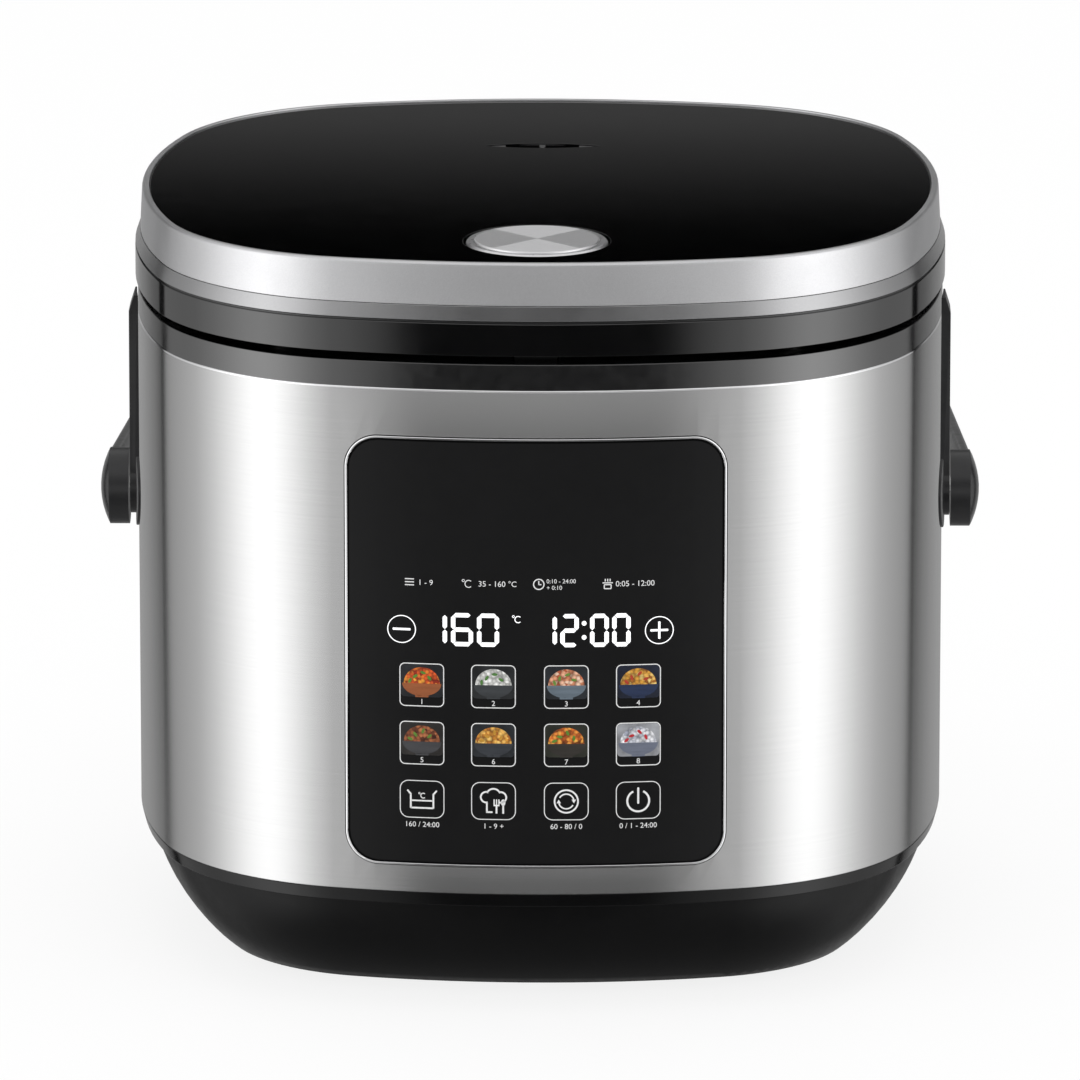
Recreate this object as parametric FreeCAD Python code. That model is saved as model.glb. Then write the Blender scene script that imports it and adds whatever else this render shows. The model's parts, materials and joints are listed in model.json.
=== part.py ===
"""Countertop multicooker with a hinged lid, a release button, a steam valve and a bail handle.

Millimetres, +Z up, front towards -Y. Pieces are modelled about the centre of the body's plan and
moved along Y at the end, so that the origin lies under the middle of the whole object.
"""
import FreeCAD, Part
import math
import os

V = FreeCAD.Vector
X_AXIS = V(1, 0, 0)
Y_AXIS = V(0, 1, 0)
Z_AXIS = V(0, 0, 1)

# Cooking bowl, which the body is sized around
BOWL_RADIUS = 108.0
BOWL_WALL = 1.5
BOWL_FLANGE_WIDTH = 7.9
BOWL_CORNER = 14.0
BOWL_PLAY = 2.3
SEAT_PLAY = 0.8

# Plan outline of the body: eight arcs that meet tangentially, set off from the bowl's flange
SIDE_ROOM = 19.2
FRONT_ROOM = 16.8
FRONT_RADIUS = 280.0
SIDE_RADIUS = 240.0
CORNER_RADIUS = 82.0

# Heights of the stacked bands, from the table up; the panel and its margins make the steel's height
FOOT_HEIGHT = 4.0
BASE_HEIGHT = 32.8
TRIM_HEIGHT = 4.6
PANEL_RISE = 9.3
PANEL_HEIGHT = 146.1
PANEL_DROP = 16.4
RIM_HEIGHT = 8.6
LID_GAP = 2.9
BAND_HEIGHT = 11.4
SHOULDER_HEIGHT = 5.0
SILVER_HEIGHT = 14.3
PLATE_SINK = 0.6

# Clearances
FIT = 0.05
LOOSE = 0.3
RUNNING = 0.06

# Lower housing
BASE_STEP = 3.7
BASE_TUCK = 24.3
BASE_BULGE = 3.4
BASE_WALL = 2.5
LEDGE_WIDTH = 10.0
LEDGE_THICKNESS = 2.0
BASE_LIP = 5.7
COVER_THICKNESS = 2.3
COVER_RECESS = 0.4
VENT_WIDTH = 3.0
VENT_LENGTH = 46.0
VENT_PITCH = 9.0
VENT_COUNT = 7
FOOT_RADIUS = 9.0
FOOT_TAPER = 1.0
FOOT_STEM_RADIUS = 3.0
FOOT_SIDE_INSET = 65.6
FOOT_FRONT_INSET = 63.2
SCREW_RADIUS = 1.5
SCREW_HEAD_RADIUS = 3.2
SCREW_HEAD_HEIGHT = 1.7

# Trim strip, steel wrap and the moulded panel that closes its seam at the back
TRIM_FLARE = 1.2
STEEL_THICKNESS = 0.8
REAR_PANEL_HALF_WIDTH = 34.0
REAR_PANEL_THICKNESS = 2.0

# Rim of the body and the bowl opening
RIM_WALL = 2.5
DECK_THICKNESS = 2.6
SKIRT_DEPTH = 7.0
SKIRT_THICKNESS = 1.6
SEAT_DEPTH = 4.0
SEAT_FLOOR = 2.5
COLLAR_WALL = 2.0

# Inner jacket and heater
JACKET_GAP = 1.2
JACKET_THICKNESS = 0.8
JACKET_FLANGE = 6.0
JACKET_RISE = 10.6
JACKET_FLOOR_THICKNESS = 1.2
HEATER_INSET = 11.5
HEATER_THICKNESS = 9.0
HEATER_EDGE = 12.6
HEATER_RIB_WIDTH = 21.0
HEATER_RIB_SLOPE = 8.4
HEATER_RIB_DEPTH = 3.0
HEATER_LEG_COUNT = 3
HEATER_LEG_TURN = 30.0
HEATER_LEG_HEIGHT = 5.0
HEATER_LEG_RADIUS = 5.0
HEATER_LEG_CIRCLE = 60.0
HEATER_BORE_RADIUS = 17.0

# Temperature sensor
SENSOR_RADIUS = 15.0
SENSOR_CAP = 5.0
SENSOR_STEM_RADIUS = 5.0
SENSOR_STEM_LENGTH = 26.0
GUIDE_RADIUS = 20.0
GUIDE_DEPTH = 10.0
GUIDE_WALL = 1.2
GUIDE_FLANGE = 6.0
SENSOR_SPRING_RADIUS = 9.0
SENSOR_SPRING_TURNS = 5
SPRING_WIRE = 1.2
WIRE_SIDES = 8

# Control panel on the front
PANEL_HALF_WIDTH = 63.0
PANEL_CORNER = 11.0
PANEL_PROUD = 0.4
FRAME_WIDTH = 0.8
FRAME_PROUD = 0.55
CARRIER_MARGIN = 5.5
CARRIER_THICKNESS = 2.0
TOUCH_BOARD_HALF_WIDTH = 50.0
TOUCH_BOARD_MARGIN = 8.0
BOARD_THICKNESS = 1.6
STANDOFF_RADIUS = 3.0
STANDOFF_MARGIN = 6.0
DISPLAY_HALF_WIDTH = 36.0
DISPLAY_HEIGHT = 20.0
DISPLAY_DROP = 63.8

# Power board in the base
POWER_BOARD_WIDTH = 96.0
POWER_BOARD_DEPTH = 62.0
POWER_BOARD_SETBACK = 92.2
POST_HEIGHT = 12.0
POST_RADIUS = 3.0
POST_MARGIN = 5.0
RELAY_SIZE = 16.0
CAPACITOR_RADIUS = 6.0
CAPACITOR_HEIGHT = 15.0
TRANSFORMER_SIZE = 22.0
TRANSFORMER_HEIGHT = 15.4

# Mains inlet at the back
INLET_RISE = 20.6
INLET_WIDTH = 24.0
INLET_HEIGHT = 16.4
INLET_DEPTH = 15.5
INLET_WALL = 2.0
INLET_FLANGE = 3.0
INLET_FLANGE_THICKNESS = 2.2
INLET_PIN_PITCH = 7.0
INLET_PIN_WIDTH = 2.0
INLET_PIN_HEIGHT = 4.0
INLET_PIN_LENGTH = 13.0
INLET_PIN_DROP = 1.5

# Hinge at the back of the body
HINGE_SETBACK = 8.8
HINGE_RISE = 2.2
HINGE_PIN_RADIUS = 3.0
KNUCKLE_RADIUS = 6.5
LUG_INNER_X = 38.0
LUG_WIDTH = 10.0
LID_KNUCKLE_PLAY = 0.5
HOUSING_HALF_WIDTH = 50.0
HOUSING_HEIGHT = 12.0
HOUSING_CORNER = 8.0
HOUSING_ROUND = 2.5
HOUSING_CLEARANCE = 0.8
LID_SPRING_HALF_LENGTH = 18.0
LID_SPRING_TURNS = 8

# Condensate cup under the hinge
CUP_HALF_WIDTH = 22.0
CUP_DEPTH = 16.0
CUP_HEIGHT = 30.0
CUP_WALL = 1.5
CUP_LIP = 2.0
CUP_LIP_THICKNESS = 2.0
RAIL_WALL = 2.5
RAIL_LIP = 1.5

# Lid
BAND_PROUD = 0.5
LID_WALL = 3.1
LID_LIP_WIDTH = 14.5
LID_LIP_THICKNESS = 2.0
GROOVE = 0.7
SHOULDER_INSET = 1.1
SILVER_INSET_LOW = 1.2
SILVER_INSET_HIGH = 1.9
SILVER_LIP = 1.3
SILVER_WALL = 2.4
PLATE_LEDGE = 3.2
PLATE_THICKNESS = 2.4
PLATE_CHAMFER = 0.3
LID_BASE_THICKNESS = 2.2
LID_POST_RADIUS = 4.0
LID_POST_INSET = 30.0
LID_SCREW_BITE = 6.0

# Inner lid and its seal
SEAL_INSET = 1.5
INNER_LID_THICKNESS = 1.2
INNER_LID_DROP = 3.5
INNER_LID_RING_INSET = 11.1
SEAL_WIDTH = 4.6
SEAL_HEIGHT = 4.2
KNOB_RADIUS = 9.0
KNOB_HEIGHT = 2.6
KNOB_STEM_RADIUS = 4.0
BOSS_RADIUS = 11.0
VENT_HOLE_RADIUS = 2.0
VENT_HOLE_CIRCLE = 22.0
VENT_HOLE_COUNT = 6

# Release button and latch
BUTTON_SETBACK = 39.7
BUTTON_RADIUS = 23.6
BUTTON_FACE_RADIUS = 20.8
BUTTON_FACE_THICKNESS = 1.0
BUTTON_PROUD = 0.7
BUTTON_CHAMFER = 0.8
BUTTON_SKIRT = 7.0
BUTTON_WALL = 2.0
BUTTON_TRAVEL = 2.5
BUTTON_GAP = 0.9
WELL_WALL = 2.0
WELL_DEPTH = 14.6
STEM_RADIUS = 4.0
BUTTON_SPRING_RADIUS = 8.0
BUTTON_SPRING_TURNS = 3
LATCH_HALF_WIDTH = 8.0
LATCH_THICKNESS = 2.2
LATCH_TAIL = 9.0
RAMP_HEIGHT = 6.0
RAMP_SLOT = 12.0
HOOK_INSET = 7.8
HOOK_THICKNESS = 2.0
HOOK_DEPTH = 8.0
HOOK_NOSE = 1.9
HOOK_NOSE_HEIGHT = 2.8
HOOK_HALF_WIDTH = 7.0
SLOT_MARGIN = 0.7
STRIKE_HALF_WIDTH = 12.0
STRIKE_THICKNESS = 1.6
STRIKE_DROP = 11.0

# Steam valve
VALVE_SETBACK = 78.6
VALVE_HALF_LENGTH = 20.5
VALVE_HALF_WIDTH = 3.4
VALVE_RECESS = 0.7
VALVE_TRAY = 7.5
VALVE_TUBE_RADIUS = 3.0
VALVE_TUBE_WALL = 0.9
VALVE_TUBE_LENGTH = 14.0
VALVE_SLOT_WIDTH = 1.2
VALVE_SLOT_LENGTH = 10.8
VALVE_SLOT_PITCH = 12.0
VALVE_SLOT_OFFSET = 1.1
DUCT_WALL = 2.0
LENS_TIP_RATIO = 3

# Bail handle
PIVOT_Y = -16.0
PIVOT_DROP = 61.2
DROOP = 5.0
PAD_RADIUS = 13.5
PAD_THICKNESS = 1.0
LUG_PROUD = 2.1
LUG_STRIP_WIDTH = 14.0
LUG_STRIP_LIFT = 3.0
LUG_STRIP_OVERLAP = 6.4
LUG_CHAMFER_WIDTH = 1.7
LUG_CHAMFER_HEIGHT = 5.4
NECK_RADIUS = 9.3
NECK_PROUD = 2.2
HUB_RADIUS = 13.0
HANDLE_PIN_RADIUS = 4.0
ARM_PROUD = 5.2
ARM_THICKNESS = 3.9
ARM_CONVERGENCE = 2.2
GRIP_CLEARANCE = 36.8
GRIP_THICKNESS = 12.0
GRIP_CORNER = 30.0
HANDLE_FILLET = 1.3
CAP_BULGE = 3.2

# Radii and half sizes that follow from the bowl
BOWL_OUTER_RADIUS = BOWL_RADIUS + BOWL_WALL
BOWL_FLANGE_RADIUS = BOWL_OUTER_RADIUS + BOWL_FLANGE_WIDTH
BOWL_OPENING_RADIUS = BOWL_OUTER_RADIUS + BOWL_PLAY
SEAT_RADIUS = BOWL_FLANGE_RADIUS + SEAT_PLAY
COLLAR_RADIUS = SEAT_RADIUS + COLLAR_WALL
JACKET_RADIUS = BOWL_OUTER_RADIUS + JACKET_GAP
HEATER_RADIUS = BOWL_OUTER_RADIUS - BOWL_CORNER - HEATER_INSET
INNER_LID_RADIUS = BOWL_OUTER_RADIUS + SEAL_INSET
HALF_WIDTH = BOWL_FLANGE_RADIUS + SIDE_ROOM
HALF_DEPTH = BOWL_FLANGE_RADIUS + FRONT_ROOM

# Levels worked out from the heights
STEEL_HEIGHT = PANEL_RISE + PANEL_HEIGHT + PANEL_DROP
Z_BASE = FOOT_HEIGHT
Z_TRIM = Z_BASE + BASE_HEIGHT
Z_STEEL = Z_TRIM + TRIM_HEIGHT
Z_RIM = Z_STEEL + STEEL_HEIGHT
Z_DECK = Z_RIM + RIM_HEIGHT
Z_BAND = Z_DECK + LID_GAP
Z_SHOULDER = Z_BAND + BAND_HEIGHT
Z_SILVER = Z_SHOULDER + SHOULDER_HEIGHT
Z_SILVER_TOP = Z_SILVER + SILVER_HEIGHT
Z_PLATE_TOP = Z_SILVER_TOP - PLATE_SINK
Z_PLATE = Z_PLATE_TOP - PLATE_THICKNESS
Z_COVER = Z_BASE + COVER_RECESS
Z_COVER_TOP = Z_COVER + COVER_THICKNESS
Z_LID_BASE = Z_BAND + LID_LIP_THICKNESS
Z_LID_BASE_TOP = Z_LID_BASE + LID_BASE_THICKNESS
Z_SEAT = Z_DECK - SEAT_DEPTH
Z_FLANGE_TOP = Z_SEAT + BOWL_WALL
Z_INNER_LID_TOP = Z_LID_BASE - INNER_LID_DROP
JACKET_FLOOR_Z = Z_STEEL + JACKET_RISE
Z_HEATER = JACKET_FLOOR_Z + JACKET_FLOOR_THICKNESS + HEATER_LEG_HEIGHT
Z_HEATER_TOP = Z_HEATER + HEATER_THICKNESS
Z_BOWL = Z_HEATER_TOP + LOOSE
Z_BOARD = Z_COVER_TOP + POST_HEIGHT
PANEL_BOTTOM = Z_STEEL + PANEL_RISE
DISPLAY_CENTRE_Z = PANEL_BOTTOM + PANEL_HEIGHT - DISPLAY_DROP
INLET_CENTRE_Z = Z_STEEL + INLET_RISE
PIVOT_Z = Z_RIM - PIVOT_DROP
LUG_STRIP_BOTTOM = PIVOT_Z + LUG_STRIP_LIFT
LUG_STRIP_TOP = Z_RIM + LUG_STRIP_OVERLAP

# Places in plan
HINGE_Y = HALF_DEPTH + HINGE_SETBACK
HINGE_Z = Z_DECK + HINGE_RISE
BUTTON_Y = BUTTON_SETBACK - HALF_DEPTH
POWER_BOARD_Y = POWER_BOARD_SETBACK - HALF_DEPTH
VALVE_Y = HALF_DEPTH - VALVE_SETBACK
GRIP_REACH = HALF_DEPTH - PIVOT_Y + GRIP_CLEARANCE
PLATE_INSET = SILVER_INSET_HIGH + SILVER_WALL
COVER_INSET = BASE_TUCK + BASE_LIP
SCREW_INSET = COVER_INSET + LEDGE_WIDTH / 2


def plan_arcs():
    """The eight arcs of the plan, anticlockwise from the right side: centre, radius, two angles."""
    side = HALF_WIDTH - SIDE_RADIUS
    back = HALF_DEPTH - FRONT_RADIUS
    to_side = SIDE_RADIUS - CORNER_RADIUS
    to_back = FRONT_RADIUS - CORNER_RADIUS
    apart = math.hypot(side, back)
    along = (to_side ** 2 - to_back ** 2 + apart ** 2) / (2 * apart)
    off = math.sqrt(to_side ** 2 - along ** 2)
    ux, uy = -side / apart, back / apart
    corner_x = side + along * ux - off * uy
    corner_y = along * uy + off * ux
    low = math.atan2(corner_y, corner_x - side)
    high = math.atan2(corner_y - back, corner_x)
    return [
        (side, 0, SIDE_RADIUS, -low, low),
        (corner_x, corner_y, CORNER_RADIUS, low, high),
        (0, back, FRONT_RADIUS, high, math.pi - high),
        (-corner_x, corner_y, CORNER_RADIUS, math.pi - high, math.pi - low),
        (-side, 0, SIDE_RADIUS, math.pi - low, math.pi + low),
        (-corner_x, -corner_y, CORNER_RADIUS, math.pi + low, math.pi + high),
        (0, -back, FRONT_RADIUS, math.pi + high, 2 * math.pi - high),
        (corner_x, -corner_y, CORNER_RADIUS, 2 * math.pi - high, 2 * math.pi - low),
    ]


PLAN = plan_arcs()


def plan_face(inset, z):
    """Flat face of the plan outline, drawn in by inset."""
    edges = []
    for cx, cy, radius, start, end in PLAN:
        circle = Part.Circle(V(cx, cy, z), Z_AXIS, radius - inset)
        edges.append(Part.ArcOfCircle(circle, start, end).toShape())
    return Part.Face(Part.Wire(edges))


def plan_prism(inset, z_low, z_high):
    return plan_face(inset, z_low).extrude(V(0, 0, z_high - z_low))


def swept(start, steps):
    """Solid whose profile of (inset, height) points runs round the plan.

    A step is the next point, or a middle point and an end point for an arc. A profile that does
    not come back to its start is closed by a flat face at each end.
    """
    faces = []
    for cx, cy, radius, first, last in PLAN:
        def place(point):
            reach = radius - point[0]
            return V(cx + reach * math.cos(first), cy + reach * math.sin(first), point[1])
        here = start
        for step in steps:
            if isinstance(step[0], tuple):
                edge = Part.Arc(place(here), place(step[0]), place(step[1])).toShape()
                here = step[1]
            else:
                edge = Part.LineSegment(place(here), place(step)).toShape()
                here = step
            faces.append(edge.revolve(V(cx, cy, 0), Z_AXIS, math.degrees(last - first)))
    if here != start:
        faces.append(plan_face(*start))
        faces.append(plan_face(*here))
    shell = Part.makeCompound(faces)
    shell.sewShape()
    solid = Part.Solid(shell.Shells[0])
    if solid.Volume < 0:
        solid.reverse()
    return solid


def plan_ring(inset_out, inset_in, z_low, z_high):
    corners = [(inset_in, z_low), (inset_in, z_high), (inset_out, z_high), (inset_out, z_low)]
    return swept(corners[-1], corners)


def box(x0, x1, y0, y1, z0, z1):
    return Part.makeBox(x1 - x0, y1 - y0, z1 - z0, V(x0, y0, z0))


def disc(radius, x, y, z_low, z_high):
    return Part.makeCylinder(radius, z_high - z_low, V(x, y, z_low))


def tube(outer, inner, x, y, z_low, z_high):
    return disc(outer, x, y, z_low, z_high).cut(disc(inner, x, y, z_low, z_high))


def turned(points, x=0, y=0):
    """Solid of revolution about a vertical axis, from (radius, height) corners."""
    corners = [V(x + radius, y, z) for radius, z in points]
    face = Part.Face(Part.makePolygon(corners + corners[:1]))
    return face.revolve(V(x, y, 0), Z_AXIS, 360)


def rod(radius, x0, x1, y, z):
    """Cylinder along X."""
    return Part.makeCylinder(radius, x1 - x0, V(x0, y, z), X_AXIS)


def coil(radius, wire, z_low, z_high, turns, x=0, y=0):
    """Helical spring that stands between two levels."""
    rise = z_high - z_low - wire
    helix = Part.Wire(Part.makeHelix(rise / turns, rise, radius).Edges)
    angles = [math.tau * index / WIRE_SIDES for index in range(WIRE_SIDES)]
    half = wire / 2
    corners = [V(radius + half * math.cos(angle), 0, half * math.sin(angle)) for angle in angles]
    spring = helix.makePipeShell([Part.makePolygon(corners + corners[:1])], True, True)
    spring.translate(V(x, y, z_low + wire / 2))
    return spring


def runs_along(edge, axis):
    """Whether an edge sets off nearer to the axis than to the plane across it."""
    tangent = edge.tangentAt(edge.FirstParameter)
    return abs(tangent.dot(axis)) > tangent.cross(axis).Length


def tile(half_width, z_low, z_high, corner, y_front, y_back):
    """Block along Y with rounded upright corners as seen from the front."""
    block = box(-half_width, half_width, y_front, y_back, z_low, z_high)
    return block.makeFillet(corner, [edge for edge in block.Edges if runs_along(edge, Y_AXIS)])


def lens(half_length, half_width, y, z_low, z_high):
    """Boat-shaped prism between two arcs."""
    left, right = V(-half_length, y, z_low), V(half_length, y, z_low)
    front = Part.Arc(left, V(0, y - half_width, z_low), right).toShape()
    back = Part.Arc(right, V(0, y + half_width, z_low), left).toShape()
    return Part.Face(Part.Wire([front, back])).extrude(V(0, 0, z_high - z_low))


def both_sides(shape):
    return Part.makeCompound([shape, shape.mirror(V(0, 0, 0), X_AXIS)])


def ring_points(radius, count, first_degrees=0):
    """Points evenly spaced on a circle about the middle of the plan."""
    angles = [math.radians(first_degrees) + math.tau * index / count for index in range(count)]
    return [(radius * math.cos(angle), radius * math.sin(angle)) for angle in angles]


def screw_points():
    side, depth = HALF_WIDTH - SCREW_INSET, HALF_DEPTH - SCREW_INSET
    return [(side, 0), (-side, 0), (0, depth), (0, -depth)]


def foot_points():
    x, y = HALF_WIDTH - FOOT_SIDE_INSET, HALF_DEPTH - FOOT_FRONT_INSET
    return [(x, y), (-x, y), (-x, -y), (x, -y)]


def board_posts():
    half_x = POWER_BOARD_WIDTH / 2 - POST_MARGIN
    half_y = POWER_BOARD_DEPTH / 2 - POST_MARGIN
    return [(sx * half_x, POWER_BOARD_Y + sy * half_y) for sx in (-1, 1) for sy in (-1, 1)]


# Lower housing

def base_circle():
    """Centre and radius of the housing's bulging side, in (inset, height)."""
    run, fall = BASE_TUCK - BASE_STEP, Z_TRIM - Z_BASE
    chord = math.hypot(run, fall)
    radius = (chord ** 2 / 4 + BASE_BULGE ** 2) / (2 * BASE_BULGE)
    inward = radius - BASE_BULGE
    inset = (BASE_STEP + BASE_TUCK) / 2 + inward * fall / chord
    height = (Z_TRIM + Z_BASE) / 2 + inward * run / chord
    return (inset, height), radius


def base_arc(radius, z_from, z_to):
    """Start, middle and end of an arc about the centre of the housing's side."""
    (cx, cz), _ = base_circle()
    angles = [math.pi - math.asin((z - cz) / radius) for z in (z_from, z_to)]
    angles.insert(1, sum(angles) / 2)
    return [(cx + radius * math.cos(angle), cz + radius * math.sin(angle)) for angle in angles]


def base_shell():
    _, radius = base_circle()
    ledge_top = Z_COVER_TOP + LEDGE_THICKNESS
    ledge_inset = COVER_INSET + LEDGE_WIDTH
    outer_top, outer_middle, outer_bottom = base_arc(radius, Z_TRIM, Z_BASE)
    inner_bottom, inner_middle, inner_top = base_arc(radius - BASE_WALL, ledge_top, Z_TRIM)
    shell = swept(outer_top, [
        (outer_middle, outer_bottom),
        (COVER_INSET, Z_BASE),
        (COVER_INSET, Z_COVER_TOP),
        (ledge_inset, Z_COVER_TOP),
        (ledge_inset, ledge_top),
        inner_bottom,
        (inner_middle, inner_top),
        outer_top,
    ])
    for x, y in screw_points():
        shell = shell.cut(disc(SCREW_RADIUS + FIT, x, y, Z_COVER_TOP, ledge_top))
    return shell


def bottom_cover():
    cover = plan_prism(COVER_INSET + LOOSE, Z_COVER, Z_COVER_TOP)
    for index in range(VENT_COUNT):
        y = (index - (VENT_COUNT - 1) / 2) * VENT_PITCH
        half = VENT_LENGTH / 2
        cover = cover.cut(box(-half, half, y - VENT_WIDTH / 2, y + VENT_WIDTH / 2, Z_COVER, Z_COVER_TOP))
    for x, y in foot_points():
        cover = cover.cut(disc(FOOT_STEM_RADIUS + FIT, x, y, Z_COVER, Z_COVER_TOP))
    for x, y in screw_points():
        cover = cover.cut(disc(SCREW_RADIUS + LOOSE, x, y, Z_COVER, Z_COVER_TOP))
    for x, y in board_posts():
        cover = cover.fuse(disc(POST_RADIUS, x, y, Z_COVER, Z_BOARD))
    return cover.removeSplitter()


def rubber_feet():
    feet = []
    for x, y in foot_points():
        foot = Part.makeCone(FOOT_RADIUS - FOOT_TAPER, FOOT_RADIUS, Z_COVER, V(x, y, 0))
        feet.append(foot.fuse(disc(FOOT_STEM_RADIUS, x, y, Z_COVER, Z_COVER_TOP)).removeSplitter())
    return Part.makeCompound(feet)


def pan_screw(x, y, z_under, length):
    """Screw with its head below z_under and its shank above."""
    head = disc(SCREW_HEAD_RADIUS, x, y, z_under - SCREW_HEAD_HEIGHT, z_under)
    return head.fuse(disc(SCREW_RADIUS, x, y, z_under, z_under + length)).removeSplitter()


def base_screws():
    length = COVER_THICKNESS + LEDGE_THICKNESS
    return Part.makeCompound([pan_screw(x, y, Z_COVER, length) for x, y in screw_points()])


def lower_trim_ring():
    _, _, inner_top = base_arc(base_circle()[1] - BASE_WALL, Z_BASE + BASE_HEIGHT / 2, Z_TRIM)
    inner = inner_top[0]
    corners = [(0, Z_STEEL), (inner, Z_STEEL), (inner, Z_TRIM), (TRIM_FLARE, Z_TRIM)]
    return swept(corners[-1], corners)


# Steel wrap, rim and bowl

def panel_tile(margin, y_front, y_back):
    low, high = PANEL_BOTTOM - margin, PANEL_BOTTOM + PANEL_HEIGHT + margin
    return tile(PANEL_HALF_WIDTH + margin, low, high, PANEL_CORNER + margin, y_front, y_back)


def front_slab(inset_out, inset_in, margin):
    """Curved slab behind the front face, with the panel's outline grown by margin."""
    ring = plan_ring(inset_out, inset_in, Z_STEEL, Z_RIM)
    return ring.common(panel_tile(margin, -2 * HALF_DEPTH, -HALF_DEPTH / 2))


def inlet_block(margin, y0, y1):
    half_width, half_height = INLET_WIDTH / 2 + margin, INLET_HEIGHT / 2 + margin
    return box(-half_width, half_width, y0, y1, INLET_CENTRE_Z - half_height, INLET_CENTRE_Z + half_height)


def rear_strip(margin):
    """Block over the seam at the back, wider than the moulded panel by margin on each side."""
    half = REAR_PANEL_HALF_WIDTH + margin
    return box(-half, half, HALF_DEPTH / 2, 2 * HALF_DEPTH, Z_STEEL, Z_RIM)


def steel_wrap():
    wrap = plan_ring(0, STEEL_THICKNESS, Z_STEEL, Z_RIM)
    wrap = wrap.cut(panel_tile(FIT, -2 * HALF_DEPTH, -HALF_DEPTH / 2))
    return wrap.cut(rear_strip(FIT))


def rear_panel():
    panel = plan_ring(0, REAR_PANEL_THICKNESS, Z_STEEL, Z_RIM).common(rear_strip(0))
    panel = panel.cut(inlet_block(INLET_WALL + FIT, HALF_DEPTH / 2, 2 * HALF_DEPTH))
    skirt = STEEL_THICKNESS + LOOSE
    return panel.cut(plan_prism(skirt - FIT, Z_RIM - SKIRT_DEPTH - LOOSE, Z_RIM))


def latch_slot(z_low, z_high):
    """Slot round the hook's leg, long enough for its stroke."""
    front = -HALF_DEPTH + HOOK_INSET - HOOK_NOSE - SLOT_MARGIN
    back = -HALF_DEPTH + HOOK_INSET + HOOK_THICKNESS + BUTTON_TRAVEL + SLOT_MARGIN
    half = HOOK_HALF_WIDTH + SLOT_MARGIN
    return box(-half, half, front, back, z_low, z_high)


def body_rim():
    deck_low = Z_DECK - DECK_THICKNESS
    rim = plan_prism(0, Z_RIM, Z_DECK).cut(plan_prism(RIM_WALL, Z_RIM, deck_low))
    skirt_out = STEEL_THICKNESS + LOOSE
    skirt_in = skirt_out + SKIRT_THICKNESS
    rim = rim.fuse(plan_ring(skirt_out, skirt_in, Z_RIM - SKIRT_DEPTH, Z_RIM + DECK_THICKNESS))
    rim = rim.fuse(disc(COLLAR_RADIUS, 0, 0, Z_SEAT - SEAT_FLOOR, Z_DECK))
    rim = rim.cut(disc(SEAT_RADIUS, 0, 0, Z_SEAT, Z_DECK))
    rim = rim.cut(disc(BOWL_OPENING_RADIUS, 0, 0, Z_RIM - SKIRT_DEPTH, Z_DECK))
    return rim.cut(latch_slot(Z_RIM, Z_DECK)).removeSplitter()


def cooking_bowl():
    outer, flange = BOWL_OUTER_RADIUS, BOWL_FLANGE_RADIUS
    inner_corner = BOWL_CORNER - BOWL_WALL
    low, top = Z_BOWL, Z_FLANGE_TOP

    def at(radius, z):
        return V(radius, 0, z)

    def corner_middle(radius):
        part = radius * math.sqrt(0.5)
        return at(turn_r + part, turn_z - part)

    turn_z, turn_r = low + BOWL_CORNER, outer - BOWL_CORNER
    edges = [
        Part.LineSegment(at(0, low), at(turn_r, low)),
        Part.Arc(at(turn_r, low), corner_middle(BOWL_CORNER), at(outer, turn_z)),
        Part.LineSegment(at(outer, turn_z), at(outer, Z_SEAT)),
        Part.LineSegment(at(outer, Z_SEAT), at(flange, Z_SEAT)),
        Part.LineSegment(at(flange, Z_SEAT), at(flange, top)),
        Part.LineSegment(at(flange, top), at(BOWL_RADIUS, top)),
        Part.LineSegment(at(BOWL_RADIUS, top), at(BOWL_RADIUS, turn_z)),
        Part.Arc(at(BOWL_RADIUS, turn_z), corner_middle(inner_corner), at(turn_r, low + BOWL_WALL)),
        Part.LineSegment(at(turn_r, low + BOWL_WALL), at(0, low + BOWL_WALL)),
        Part.LineSegment(at(0, low + BOWL_WALL), at(0, low)),
    ]
    face = Part.Face(Part.Wire([edge.toShape() for edge in edges]))
    return face.revolve(V(0, 0, 0), Z_AXIS, 360)


# Jacket, heater and sensor

def inner_jacket():
    top = Z_SEAT - SEAT_FLOOR
    floor = JACKET_FLOOR_Z
    outer = JACKET_RADIUS + JACKET_THICKNESS
    return turned([
        (GUIDE_RADIUS + FIT, floor),
        (outer, floor),
        (outer, top - JACKET_THICKNESS),
        (outer + JACKET_FLANGE, top - JACKET_THICKNESS),
        (outer + JACKET_FLANGE, top),
        (JACKET_RADIUS, top),
        (JACKET_RADIUS, floor + JACKET_FLOOR_THICKNESS),
        (GUIDE_RADIUS + FIT, floor + JACKET_FLOOR_THICKNESS),
    ])


def heating_plate():
    under = Z_HEATER + HEATER_RIB_DEPTH
    rib_outer = HEATER_RADIUS - HEATER_EDGE
    rib_inner = rib_outer - HEATER_RIB_WIDTH
    plate = turned([
        (HEATER_BORE_RADIUS, under),
        (rib_inner - HEATER_RIB_SLOPE, under),
        (rib_inner, Z_HEATER),
        (rib_outer, Z_HEATER),
        (HEATER_RADIUS, under),
        (HEATER_RADIUS, Z_HEATER_TOP),
        (HEATER_BORE_RADIUS, Z_HEATER_TOP),
    ])
    for x, y in ring_points(HEATER_LEG_CIRCLE, HEATER_LEG_COUNT, HEATER_LEG_TURN):
        plate = plate.fuse(disc(HEATER_LEG_RADIUS, x, y, Z_HEATER - HEATER_LEG_HEIGHT, under))
    return plate.removeSplitter()


def guide_floor():
    return JACKET_FLOOR_Z - GUIDE_DEPTH


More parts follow.
